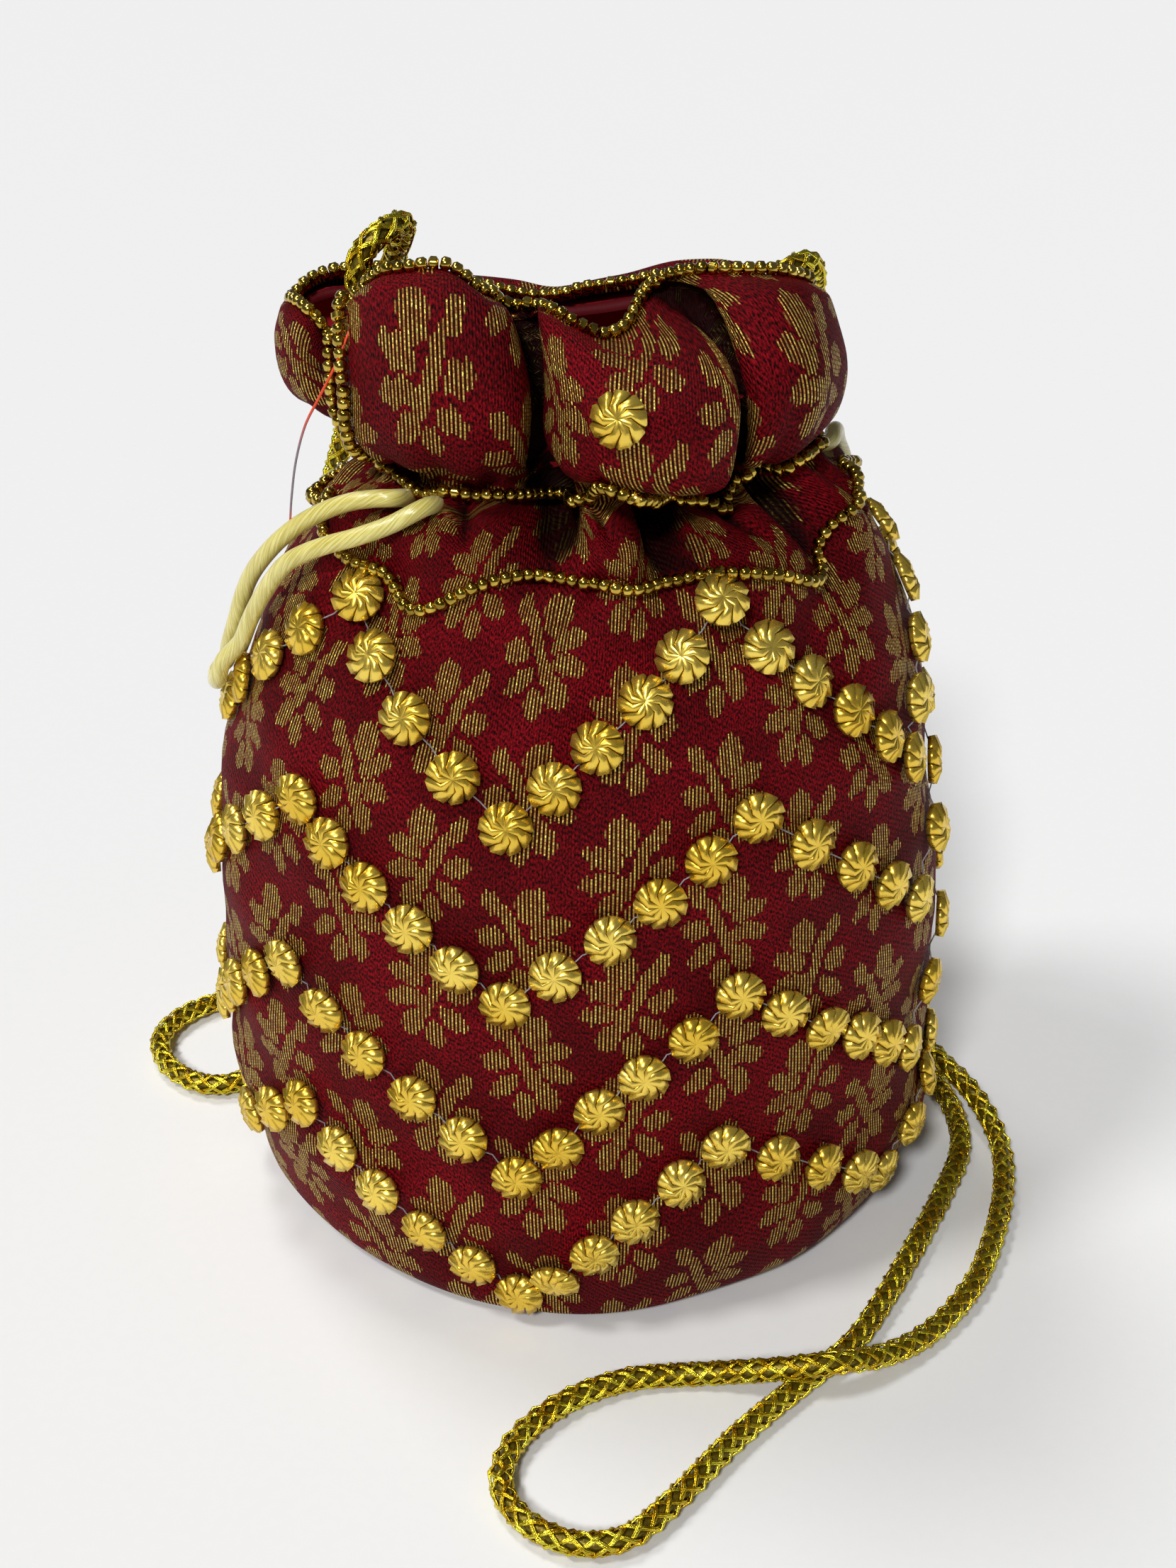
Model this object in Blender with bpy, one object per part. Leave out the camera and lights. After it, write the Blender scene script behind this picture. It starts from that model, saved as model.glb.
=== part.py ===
"""Potli bag: a round drawstring pouch of zari brocade with sewn bead trim.

Metres, +Z up, front towards -Y, resting on Z = 0. The cloth is lofted from outlines that are
given in millimetres, because a gathered neck and ruffle has no primitive.
"""
import math

import bmesh
import bpy
import numpy as np
from mathutils import Vector
from mathutils.bvhtree import BVHTree

# Driving dimensions, millimetres unless said.
MM = 0.001
BODY_SCALE = 1.0          # widens or narrows the whole body and its trim in plan
CLOTH_T = 1.0             # brocade with its padding
LINING_GAP = 0.45         # between the brocade and the lining
LINING_T = 0.7
LINING_DROP = 1.2         # the lining ends this far below the rim
FLOWER_D = 10.0           # moulded flower bead
FLOWER_EDGE_T = 1.6
FLOWER_DOME = 1.5
FLOWER_GAP = 0.4          # bead back to cloth
FLOWER_SIDES = 8
THREAD_D = 0.9            # beading thread, with its knots
ROW_BEADS_PER_ARM = 5      # at most, on the widest arms
ROW_PITCH_MIN = 10.7      # least spacing along an arm
SEED_D = 2.2              # seed bead strings
SEED_GAP = 0.4
SEED_SIDES = 5
SATIN_D = 3.3             # satin drawstring
HANDLE_D = 5.0            # knitted metallic handle cord
CORD_GAP = 0.45           # cords to the cloth and its beads

# Column angles in degrees around the body, 0 at the front and 90 at +X.
COL_T = [-180, -167, -154, -141, -128, -116, -105, -95, -86, -77, -67, -56, -45, -33, -21, -10,
         -1, 8, 17, 26, 36, 46, 55, 65, 77, 92, 108, 124, 142, 161]
N_COL = len(COL_T)

# Body levels: height, half-width, half-depth, centre x, roundness of the outline (2 is an ellipse).
BODY_LEVELS = [
    (0.0, 62.0, 54.0, 1.0, 1.75),
    (2.0, 67.5, 57.5, 1.0, 1.75),
    (8.0, 71.0, 59.0, 1.0, 1.75),
    (22.0, 73.5, 59.0, 1.0, 1.8),
    (40.0, 74.0, 58.0, 0.5, 1.85),
    (60.0, 74.0, 56.5, 0.0, 1.9),
    (82.0, 72.5, 54.5, 0.0, 1.95),
    (102.0, 70.0, 53.0, 0.0, 2.0),
    (119.0, 66.5, 50.0, 0.5, 2.0),
    (133.0, 62.0, 46.0, 1.5, 2.0),
    (144.0, 57.0, 41.5, 2.5, 2.0),
    (152.5, 51.5, 36.5, 3.5, 2.0),
    (159.5, 46.5, 32.0, 3.5, 2.0),
    (164.0, 41.5, 26.0, 2.5, 2.0),
]
# Radial offsets of the gathered levels, one number a column.
PUFF_LOW = [0, 1.5, 0, -1.5, 1, 1.5, -1, 1, -1, 1, 1.5, 0.5, -0.5, 1.5, 1.5, -1.5,
            1, 1.5, -2.5, 1, 2, 1.5, -3, 1.5, 2, 0, 1, -1, 1.5, 1]
PUFF_MID = [-2, 2, 2, -4, 2, 2.5, -3, 1.5, -3, 0.5, 2.5, 3.5, 3, 4, 2, -8,
            2.5, 4, -8, 1.5, 4, 1, -8, 3, 4, 0, 2.5, -4, 2.5, 2]
PUFF_TOP = [-3, 2, 2, -5, 2, 2.5, -4, 1.5, -4, -0.5, 2, 3, 2.5, 3.5, -0.5, -9,
            2.5, 3.5, -7, -0.5, 1.5, -1, -7, 1.5, 3, 0, 2, -5, 2, 2]
CINCH = [-2, 1.5, 1, -3, 1, 2, -2, 1, -2, -2, 0.5, 1.5, 1.5, 1.5, -1, -6,
         0, 0.5, -1.5, -1, -3.5, -1, -2, 1, 1.5, 0, 1, -4, 1, 1]
# How far the gathers hang lower, by column, at the cinch.
SAG = [0, 0, 0, 0, 0, 0, 0, 0, 0, -0.5, -1, -1.5, -1.5, -1.5, -1.5, -1,
       -1, -1.2, -2, -3, -3, -2, -1, 0, 0, 0, 0, 0, 0, 0]
GATHERS = {11: PUFF_LOW, 12: PUFF_MID, 13: PUFF_TOP}
SAG_SHARE = {12: 0.35, 13: 0.8}
CINCH_LEVEL = (167.5, 40.5, 24.5, 1.5, 2.0)

# Ruffle: height of its middle, then how far up from the cinch to the middle its foot spreads.
RUFFLE_MID_Z = 184.0
RUFFLE_FOOT = 0.364
# The rounded top: share of the way in to the rim and up to it, and by column how much higher.
TOP_IN = 0.42
TOP_UP = 0.84
CURL = {0: 1.5, 1: 1.5, 25: 0.5, 26: 1.5, 27: 3.0, 28: 3.0, 29: 2.0}
# Ruffle outlines, x and y for each column; the rim also has its height above the middle.
RUFFLE_MID = [(-2, 21), (-12, 27), (-24, 27), (-33, 20), (-41, 22), (-50, 19), (-55, 10),
              (-55, 1), (-50.5, -5.5), (-45.5, -7), (-42, -14), (-37, -23), (-29, -29), (-18, -30),
              (-12.5, -25.5), (-7.5, -16.5), (-1.5, -26.5), (4, -36), (14, -39), (26.5, -34), (27.5, -19),
              (34, -23), (41, -21), (46, -13), (49, -3), (47, 8), (41, 16), (31, 18), (21, 25),
              (9, 26)]
RIM = [(-4, 11, 8.5), (-12, 12, 8.5), (-22, 11, 10), (-31, 9.5, 10), (-40, 12, 9), (-48, 11, 8),
       (-52, 6, 6), (-50, 0, 7), (-47, -4, 6), (-43, -3, -1), (-39, -7, 11), (-34, -12, 17),
       (-29, -14, 18.5), (-22.5, -13.5, 18), (-16.5, -12, 14.5), (-11, -9, 12.5), (-6, -12.5, 12),
       (-0.5, -15.5, 10), (5, -15.5, 7.5), (9, -12, 8.5), (12, -6, 13), (18, -8.5, 16),
       (27, -10.5, 17.5), (36, -8, 16.5), (42, -2, 12), (41, 4.5, 6.5), (35, 8, 7),
       (27, 8.5, 10), (18, 9.5, 11.5), (7, 11, 10)]

# The left side slit: how far its edge pulls the ruffle down, by column.
SLIT = {8: -1.0, 9: -3.5, 10: -1.0}

# Soft dents in the body: start t and z, end t and z, width, depth.
DENTS = [
    (12.0, 150.0, -6.0, 118.0, 8.0, 3.0),
    (52.0, 150.0, 44.0, 122.0, 7.0, 2.2),
    (-40.0, 148.0, -26.0, 128.0, 7.0, 1.6),
    (-12.0, 152.0, -22.0, 136.0, 6.0, 1.5),
    (130.0, 150.0, 140.0, 122.0, 8.0, 2.0),
    (-150.0, 150.0, -142.0, 120.0, 8.0, 2.0),
]

# Zigzag rows of flower beads: angle and height of each corner, valley and peak by turns.
ROWS = [
    ("flower_row_1", [(-11, 112), (24, 148.5), (66, 110), (97, 147), (132, 112), (168, 147),
                      (204, 112), (238, 146), (274, 114), (311, 146)]),
    ("flower_row_2", [(-11, 76.5), (28, 112), (66, 79), (97, 110), (132, 77), (168, 110),
                      (204, 77), (238, 110), (274, 79), (312, 109.5)]),
    ("flower_row_3", [(-11, 38.5), (25, 76), (64, 44), (97, 73), (132, 40), (168, 74),
                      (204, 40), (238, 73), (274, 42), (310, 73)]),
    ("flower_row_4", [(-13, 7.5), (24, 42), (60, 15), (97, 38), (132, 9), (168, 38),
                      (204, 9), (238, 38), (274, 11), (311, 40)]),
]
RUFFLE_FLOWER = (17.45, 16.05)     # column and level of the single bead on the ruffle

# Seed bead strings as one level a column; levels count up from the base.
NECK_LINE_V = [14.3, 14.3, 14.3, 14.3, 14.3, 14.3, 14.3, 14.3, 14.3, 14.2, 13.9, 13.7, 13.2,
               13.8, 13.3, 12.9, 13.4, 15.0, 14.7, 13.4, 13.1, 14.1, 13.5, 13.6, 14.0, 14.3,
               14.3, 14.3, 14.3, 14.3]
SHOULDER_LINE_V = [10.8, 11, 11.3, 11, 10.8, 11, 11.3, 11, 11.2, 11.6, 11.1, 10.8, 10.75, 10.25,
                   11.1, 11, 11.2, 10.95, 10.85, 11.3, 11.05, 10.6, 10.8, 11.8, 12.2, 12.2, 11.5,
                   11, 10.8, 11]

# Centre lines of the cords, millimetres. They are moved clear of the cloth where they touch it.
# The handle's two arches over the rim have their heights from the ruffle's middle.
ARCH_LEFT = [
    (-37, 3.5, -1), (-38, 2, 6), (-39.3, -0.5, 12), (-38.8, -1, 16.5), (-36, 0, 19.8),
    (-33, 4, 21), (-31.5, 9.5, 19.5), (-32.5, 15.5, 15.5), (-36, 24, 6),
]
ARCH_RIGHT = [
    (44.5, 27, -2), (44.8, 21.5, 3.5), (44.3, 16, 8.3), (42.8, 11, 12),
    (40.2, 7, 13), (37, 4.2, 10.4), (35, 3, 5.5), (34, 2.5, -1),
]
HANDLE_RUN = [
    (-40, 31, 178), (-44, 35, 165), (-49, 38, 148), (-55, 42, 128), (-60, 44, 105), (-64, 46, 75),
    (-67, 49, 45), (-71, 53, 20), (-76, 55, 6.5), (-82.4, 52.5, 2.7), (-89, 49.7, 2.6), (-94.7, 44.4, 2.6),
    (-98.6, 37.3, 2.6), (-98.6, 30.3, 2.6), (-94, 22.2, 2.6), (-86.6, 17.2, 2.6),
    (-79.2, 17.6, 2.6), (-73, 22.5, 2.6), (-67, 31, 2.6), (-58, 42, 2.6), (-46, 52, 2.6),
    (-30, 60, 2.6), (-10, 64, 2.6), (12, 64, 2.6), (34, 59, 2.6), (52, 50, 2.6), (66, 38, 2.6),
    (77, 26, 2.6), (83, 15, 2.6), (85, 1, 2.6), (82.9, -10.5, 2.6), (77.8, -21.8, 2.6),
    (72.5, -32.6, 2.6), (67.4, -43, 2.6), (62.7, -51.5, 2.6), (58.7, -59.4, 2.6),
    (53.5, -66.5, 2.6), (48, -72, 2.6), (42.5, -77.5, 2.6), (37.5, -81.8, 2.6),
    (33.7, -85.5, 2.6), (29, -91.5, 2.6), (24.5, -97.1, 2.6), (20.1, -102.5, 2.6),
    (15.8, -107.6, 2.6), (11.6, -112.3, 2.6), (5.5, -115.3, 2.6), (-0.6, -115.3, 2.6),
    (-6.6, -112.8, 2.6), (-10.7, -108.7, 2.6), (-13.9, -102.5, 2.6), (-13.2, -95.4, 2.6),
    (-9.2, -87.5, 2.6), (-2.9, -81.9, 2.6), (3.6, -77.5, 2.6), (12.4, -75, 2.6),
    (19, -74.2, 2.6), (26, -74.5, 3.0), (34, -76, 5.0), (41, -77.5, 7.6), (48, -76.8, 8.0),
    (55, -74.2, 6.4), (62, -69.3, 3.6), (68.4, -64.4, 2.6), (74.2, -58, 2.6), (79.2, -51.5, 2.6),
    (83.7, -43, 2.6), (87.7, -32.6, 2.6), (91, -21.8, 2.6), (92.8, -10.5, 2.7), (92.6, -1.3, 3.6),
    (89.5, 7, 6.2), (84.5, 15, 8.4), (79, 25, 8.6), (73, 35, 9.6), (67, 44, 14), (62, 50, 24),
    (57, 53, 45), (53, 53, 75), (50, 51, 100), (48, 47, 122), (46, 43, 140), (44.5, 37, 156),
    (44, 31, 170),
]
SATIN_LEFT = [
    (-32, -21.5, 163.5), (-37.2, -21.5, 163.0), (-41.6, -20.5, 161.8), (-49.2, -18, 157.5),
    (-56.4, -15, 150.5), (-61.8, -11, 142), (-65.0, -8, 132.8), (-67.3, -5.5, 126),
    (-68.6, -3, 121), (-69.4, -5.5, 118.5), (-68.2, -9.5, 121), (-65, -12, 127.6),
    (-61.6, -14.5, 135.2), (-58, -17.5, 142.5), (-52.8, -21, 150.3), (-45.5, -24.5, 155.2),
    (-38, -26.5, 158.2), (-31, -27, 160), (-26, -27, 161),
]
SATIN_RIGHT = [
    (45.5, 2, 163), (48.5, 7, 165), (49.5, 12, 163), (51, 17, 157), (53.5, 20, 149),
    (54.5, 24, 143), (52, 28.5, 142), (49, 28, 149), (46.5, 24, 156), (44, 18, 162),
]


def start_clean():
    for obj in list(bpy.data.objects):
        bpy.data.objects.remove(obj, do_unlink=True)


def make_collection(name):
    found = bpy.data.collections.get(name)
    if found is None:
        found = bpy.data.collections.new(name)
        bpy.context.scene.collection.children.link(found)
    return found


def material(name, colour, metallic, roughness):
    mat = bpy.data.materials.new(name)
    mat.use_nodes = True
    node = mat.node_tree.nodes["Principled BSDF"]
    node.inputs["Base Color"].default_value = (*colour, 1.0)
    node.inputs["Metallic"].default_value = metallic
    node.inputs["Roughness"].default_value = roughness
    mat.diffuse_color = (*colour, 1.0)
    return mat


def body_ring(level, gather, sag):
    """One ring of the body as N_COL points."""
    z, half_w, half_d, cx, roundness = level
    ring = []
    for i in range(N_COL):
        t = math.radians(COL_T[i])
        extra = gather[i] if gather else 0.0
        sx = math.copysign(abs(math.sin(t)) ** (2.0 / roundness), math.sin(t))
        sy = math.copysign(abs(math.cos(t)) ** (2.0 / roundness), math.cos(t))
        x = cx + (half_w + extra) * sx * BODY_SCALE
        y = -(half_d + extra) * sy * BODY_SCALE
        ring.append((x, y, z + sag * SAG[i]))
    return ring


def control_net():
    """Rings of control points from the base up to the rim."""
    net = []
    for k, level in enumerate(BODY_LEVELS):
        net.append(body_ring(level, GATHERS.get(k), SAG_SHARE.get(k, 0.0)))
    cinch = body_ring(CINCH_LEVEL, CINCH, 1.0)
    net.append(cinch)
    mid = [(x * BODY_SCALE, y * BODY_SCALE, RUFFLE_MID_Z) for x, y in RUFFLE_MID]
    low = []
    foot_z = CINCH_LEVEL[0] + RUFFLE_FOOT * (RUFFLE_MID_Z - CINCH_LEVEL[0])
    for i, ((x0, y0, z0), (x1, y1, z1)) in enumerate(zip(cinch, mid)):
        low.append((x0 + 0.78 * (x1 - x0), y0 + 0.78 * (y1 - y0), foot_z + 1.1 * SAG[i]))
    mid = [(x, y, z + SLIT.get(i, 0.0)) for i, (x, y, z) in enumerate(mid)]
    low = [(x, y, z + 0.1 * SLIT.get(i, 0.0)) for i, (x, y, z) in enumerate(low)]
    net.append(low)
    net.append(mid)
    rim = [(x * BODY_SCALE, y * BODY_SCALE, RUFFLE_MID_Z + up) for x, y, up in RIM]
    high = []
    for i, ((x0, y0, z0), (x1, y1, z1)) in enumerate(zip(mid, rim)):
        high.append((x0 + TOP_IN * (x1 - x0), y0 + TOP_IN * (y1 - y0),
                     z0 + TOP_UP * (z1 - z0) + CURL.get(i, 0.0)))
    net.append(high)
    net.append(rim)
    return np.array(net, dtype=float)


NET = control_net()
N_LEV = len(NET)
V_TOP = N_LEV - 1
CLOTH_ROWS = [0.0, 1.0, 2.0, 4.0, 6.0, 8.0, 9.0, 10.0, 11.0, 12.0, 13.0, 14.0, 14.5, 15.0, 15.5,
              16.0, 17.0, float(V_TOP)]
# Columns at which the loft is cut: twice as many on the folded front.
CLOTH_COLS = [float(c) for c in range(N_COL)] + [c + 0.5 for c in range(8, 25)]
CLOTH_COLS.sort()
MESH_COLS = len(CLOTH_COLS)


def spline_weights(f):
    """Catmull-Rom weights at fraction f between the two middle points."""
    return (0.5 * (-f + 2 * f * f - f ** 3),
            0.5 * (2 - 5 * f * f + 3 * f ** 3),
            0.5 * (f + 4 * f * f - 3 * f ** 3),
            0.5 * (-f * f + f ** 3))


def dent_depth(t, z):
    depth = 0.0
    for t0, z0, t1, z1, width, amount in DENTS:
        for turn in (-360.0, 0.0, 360.0):
            ax, az = (t0 + turn) * 1.05, z0
            bx, bz = (t1 + turn) * 1.05, z1
            px, pz = t * 1.05, z
            lx, lz = bx - ax, bz - az
            s = ((px - ax) * lx + (pz - az) * lz) / (lx * lx + lz * lz)
            s = min(1.0, max(0.0, s))
            gap = math.hypot(px - ax - s * lx, pz - az - s * lz)
            fade = 1.0 - 0.6 * s
            depth += amount * fade * math.exp(-(gap / width) ** 2)
    return depth


def column_angle(c):
    i = int(math.floor(c))
    f = c - i
    a = COL_T[i % N_COL] + 360.0 * (i // N_COL)
    b = COL_T[(i + 1) % N_COL] + 360.0 * ((i + 1) // N_COL)
    return a + f * (b - a)


def cloth_point(c, v):
    """Point of the outer cloth, in millimetres, at column c and level v."""
    i = int(math.floor(c))
    wc = spline_weights(c - i)
    k = min(int(math.floor(v)), N_LEV - 2)
    wv = spline_weights(v - k)
    p = np.zeros(3)
    for dv in range(4):
        row = min(max(k - 1 + dv, 0), N_LEV - 1)
        ring = np.zeros(3)
        for dc in range(4):
            ring += wc[dc] * NET[row, (i - 1 + dc) % N_COL]
        p += wv[dv] * ring
    if 6.0 < v < 13.0:
        depth = dent_depth(column_angle(c), p[2])
        out = Vector((p[0] / 1.8, p[1], 0.0)).normalized()
        p[0] -= out.x * depth
        p[1] -= out.y * depth
    return Vector(p)


def column_at(t):
    """Column number at body angle t in degrees."""
    turns = math.floor((t + 180.0) / 360.0)
    t = t - 360.0 * turns
    for i in range(N_COL):
        a = COL_T[i]
        b = COL_T[i + 1] if i + 1 < N_COL else COL_T[0] + 360.0
        if a <= t <= b:
            return i + (t - a) / (b - a) + N_COL * turns
    return 0.0


def level_at(z):
    """Level number at body height z, below the cinch."""
    low = 0.0
    high = float(len(BODY_LEVELS))
    for _ in range(40):
        mid = 0.5 * (low + high)
        if cloth_point(0.0, mid).z < z:
            low = mid
        else:
            high = mid
    return 0.5 * (low + high)


def cloth_normal(c, v):
    e = 0.08
    v0 = max(v - e, 0.0)
    v1 = min(v + e, float(V_TOP))
    along = cloth_point(c + e, v) - cloth_point(c - e, v)
    up = cloth_point(c, v1) - cloth_point(c, v0)
    return along.cross(up).normalized()


def add_object(name, bm, mat, collection):
    bmesh.ops.recalc_face_normals(bm, faces=bm.faces)
    mesh = bpy.data.meshes.new(name)
    bm.to_mesh(mesh)
    bm.free()
    obj = bpy.data.objects.new(name, mesh)
    obj.data.materials.append(mat)
    collection.objects.link(obj)
    return obj


def bisector(before, here, after):
    """Middle direction of two neighbouring edges and the cosine of half their turn."""
    a = (here - before).normalized()
    b = (after - here).normalized()
    return (a + b).normalized(), max((a + b).length * 0.5, 0.75)


def cloth_grid():
    """Outer cloth points by row, with a mitred inward offset for one millimetre of depth."""
    points = [[cloth_point(c, v) for c in CLOTH_COLS] for v in CLOTH_ROWS]
    inward = []
    last = len(CLOTH_ROWS) - 1
    for r in range(last + 1):
        line = []
        for j in range(MESH_COLS):
            here = points[r][j]
            along, mitre_a = bisector(points[r][j - 1], here, points[r][(j + 1) % MESH_COLS])
            below = points[max(r - 1, 0)][j]
            above = points[min(r + 1, last)][j]
            if r == 0:
                rise, mitre_b = (above - here).normalized(), 1.0
            elif r == last:
                rise, mitre_b = (here - below).normalized(), 1.0
            else:
                rise, mitre_b = bisector(below, here, above)
            line.append(along.cross(rise).normalized() * (-1.0 / (mitre_a * mitre_b)))
        inward.append(line)
    return points, inward


def cloth_wall(name, out_off, in_off, drop, mat, collection):
    """A closed cloth wall between two depths below the outer surface."""
    points, inward = cloth_grid()
    last = len(CLOTH_ROWS) - 1
    bm = bmesh.new()
    layers = []
    for depth in (out_off, in_off):
        layer = []
        for r in range(last + 1):
            ring = []
            for j in range(MESH_COLS):
                step = inward[r][j]
                if r == 0:
                    step = Vector((step.x, step.y, 0.0)).normalized()
                p = points[r][j] + step * depth
                if r == 0:
                    p.z = depth
                if r == last:
                    p.z -= drop
                p.z = max(p.z, depth)
                ring.append(bm.verts.new(p * MM))
            layer.append(ring)
        layers.append(layer)
    for r in range(last):
        for j in range(MESH_COLS):
            k = (j + 1) % MESH_COLS
            first = (points[r][j] - points[r + 1][k]).length
            second = (points[r][k] - points[r + 1][j]).length
            for layer in layers:
                a, b, c, d = layer[r][j], layer[r][k], layer[r + 1][k], layer[r + 1][j]
                if first <= second:
                    bm.faces.new((a, b, c))
                    bm.faces.new((a, c, d))
                else:
                    bm.faces.new((a, b, d))
                    bm.faces.new((b, c, d))
    for j in range(MESH_COLS):
        k = (j + 1) % MESH_COLS
        a, b = layers[0][last][j], layers[0][last][k]
        bm.faces.new((a, b, layers[1][last][k], layers[1][last][j]))
    for layer in layers:
        bm.faces.new(layer[0])
    return add_object(name, bm, mat, collection)


def surface_tree(obj):
    bm = bmesh.new()
    bm.from_mesh(obj.data)
    bmesh.ops.triangulate(bm, faces=bm.faces)
    tree = BVHTree.FromBMesh(bm)
    bm.free()
    return tree


def seat_height(tree, centre, normal, samples, clearance):
    """Lift along the normal at which every sample point clears the cloth."""
    lift = -1.0e9
    for s in samples:
        start = centre + s + normal * (9.0 * MM)
        hit = tree.ray_cast(start, -normal, 16.0 * MM)
        if hit[0] is None:
            continue
        lift = max(lift, (hit[0] - centre - s).dot(normal) + clearance)
    return lift if lift > -1.0e8 else clearance


def flower_frame(tree, c, v, heading):
    """Back centre, normal and two in-plane axes of a flower bead seated on the cloth."""
    centre = cloth_point(c, v) * MM
    normal = cloth_normal(c, v)
    side = heading.cross(normal)
    side.normalize()
    ahead = normal.cross(side)
    ahead.normalize()
    radius = FLOWER_D * 0.5 * MM
    samples = [Vector((0.0, 0.0, 0.0))]
    for k in range(12):
        a = 2.0 * math.pi * k / 12
        samples.append(ahead * math.cos(a) * radius + side * math.sin(a) * radius)
    lift = seat_height(tree, centre, normal, samples, FLOWER_GAP * MM)
    return centre + normal * lift, normal, ahead, side


def outline_angles(frame, targets):
    """Angles of a bead's corners: two close ones towards each target, the rest spread evenly."""
    base, normal, ahead, side = frame
    if not targets:
        return [2.0 * math.pi * k / FLOWER_SIDES for k in range(FLOWER_SIDES)]
    slit = math.asin(THREAD_D / FLOWER_D)
    ways = []
    for target in targets:
        d = target - base
        ways.append(math.atan2(d.dot(side), d.dot(ahead)))
    angles = []
    spare = FLOWER_SIDES - 4
    for k in range(2):
        start = ways[k]
        arc = (ways[1 - k] - start) % (2.0 * math.pi)
        count = int(round(spare * arc / (2.0 * math.pi)))
        count = min(max(count, 1), spare - 1)
        angles.append(start - slit)
        angles.append(start + slit)
        for m in range(count):
            angles.append(start + arc * (m + 1) / (count + 1))
    return angles


def flower_body(bm, frame, targets):
    """A bead with a raised centre. Sides that face a target stay open for the thread."""
    base, normal, ahead, side = frame
    angles = outline_angles(frame, targets)
    back = []
    front = []
    for k, a in enumerate(angles):
        spoke = (ahead * math.cos(a) + side * math.sin(a)) * (FLOWER_D * 0.5 * MM)
        back.append(bm.verts.new(base + spoke * 0.95))
        front.append(bm.verts.new(base + spoke + normal * FLOWER_EDGE_T * MM))
    top = bm.verts.new(base + normal * (FLOWER_EDGE_T + FLOWER_DOME) * MM)
    n = len(angles)
    open_sides = []
    if targets:
        open_sides = [0, angles_start(angles, frame, targets[1])]
    for k in range(n):
        m = (k + 1) % n
        bm.faces.new((front[k], front[m], top))
        if k not in open_sides:
            bm.faces.new((back[k], back[m], front[m], front[k]))
    bm.faces.new(back[::-1])
    return [(back[k], back[(k + 1) % n], front[(k + 1) % n], front[k]) for k in open_sides]


def angles_start(angles, frame, target):
    """Number of the first of the two close corners towards a target."""
    base, normal, ahead, side = frame
    d = target - base
    way = math.atan2(d.dot(side), d.dot(ahead)) - math.asin(THREAD_D / FLOWER_D)
    gaps = [abs((a - way + math.pi) % (2.0 * math.pi) - math.pi) for a in angles]
    return gaps.index(min(gaps))


def join_sides(bm, near, far):
    """Thread from the open side of one bead to that of the next."""
    far = (far[1], far[0], far[3], far[2])
    for a in range(4):
        b = (a + 1) % 4
        bm.faces.new((near[a], near[b], far[b], far[a]))


def row_places(corners):
    """Angle and height of each bead of a zigzag row."""
    places = []
    count = len(corners)
    for i in range(count):
        t0, z0 = corners[i]
        t1, z1 = corners[(i + 1) % count]
        if i + 1 == count:
            t1 += 360.0
        spots = [(t0 + f * (t1 - t0), z0 + f * (z1 - z0)) for f in (0.0, 0.25, 0.5, 0.75, 1.0)]
        ends = [cloth_point(column_at(t), level_at(z)) for t, z in spots]
        length = sum((b - a).length for a, b in zip(ends, ends[1:]))
        steps = min(ROW_BEADS_PER_ARM, int(length / ROW_PITCH_MIN))
        for k in range(steps):
            f = k / steps
            places.append((t0 + f * (t1 - t0), z0 + f * (z1 - z0)))
    return places


def flower_row(name, corners, tree, mat, collection):
    places = row_places(corners)
    spots = []
    for t, z in places:
        spots.append((column_at(t), level_at(z)))
    n = len(spots)
    frames = []
    for i in range(n):
        ahead = cloth_point(*spots[(i + 1) % n]) - cloth_point(*spots[i - 1])
        frames.append(flower_frame(tree, spots[i][0], spots[i][1], ahead.normalized()))
    bm = bmesh.new()
    sides = []
    for i in range(n):
        targets = [frames[i - 1][0], frames[(i + 1) % n][0]]
        sides.append(flower_body(bm, frames[i], targets))
    for i in range(n):
        join_sides(bm, sides[i][1], sides[(i + 1) % n][0])
    return add_object(name, bm, mat, collection)


def single_flower(name, spot, tree, mat, collection):
    frame = flower_frame(tree, spot[0], spot[1], Vector((1.0, 0.0, 0.0)))
    bm = bmesh.new()
    flower_body(bm, frame, [])
    return add_object(name, bm, mat, collection)


def handle_path():
    """The handle's whole line: up out of the mouth, down behind, round the foot and back up."""
    first = [(x, y, RUFFLE_MID_Z + up) for x, y, up in ARCH_LEFT]
    last = [(x, y, RUFFLE_MID_Z + up) for x, y, up in ARCH_RIGHT]
    return first + HANDLE_RUN + last


def dense_curve(points, step):
    """Points along a smooth curve through the given ones, about step apart."""
    pts = [Vector(p) for p in points]
    n = len(pts)
    dense = []
    for i in range(n - 1):
        quad = [pts[min(max(i + k, 0), n - 1)] for k in (-1, 0, 1, 2)]
        cuts = max(2, int((quad[2] - quad[1]).length / step))
        for s in range(cuts):
            w = spline_weights(s / cuts)
            dense.append(quad[0] * w[0] + quad[1] * w[1] + quad[2] * w[2] + quad[3] * w[3])
    dense.append(pts[-1].copy())
    return dense


def thin_out(dense, count, bend):
    """Fewer points along a dense curve, closer together where it bends."""
    n = len(dense)
    run = [0.0]
    for i in range(1, n):
        a = dense[max(i - 3, 0)]
        b = dense[i]
        c = dense[min(i + 3, n - 1)]
        turn = 0.0
        if (b - a).length > 0.0 and (c - b).length > 0.0:
            turn = (b - a).angle(c - b) / (0.5 * (c - a).length + 0.5)
        run.append(run[-1] + (dense[i] - dense[i - 1]).length * (1.0 + bend * min(turn, 0.15)))
    out = []
    k = 0
    for i in range(count):
        want = run[-1] * i / (count - 1)
        while k < n - 2 and run[k + 1] < want:
            k += 1
        f = (want - run[k]) / max(run[k + 1] - run[k], 1.0e-9)
        out.append(dense[k].lerp(dense[k + 1], min(max(f, 0.0), 1.0)))
    return out


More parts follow.
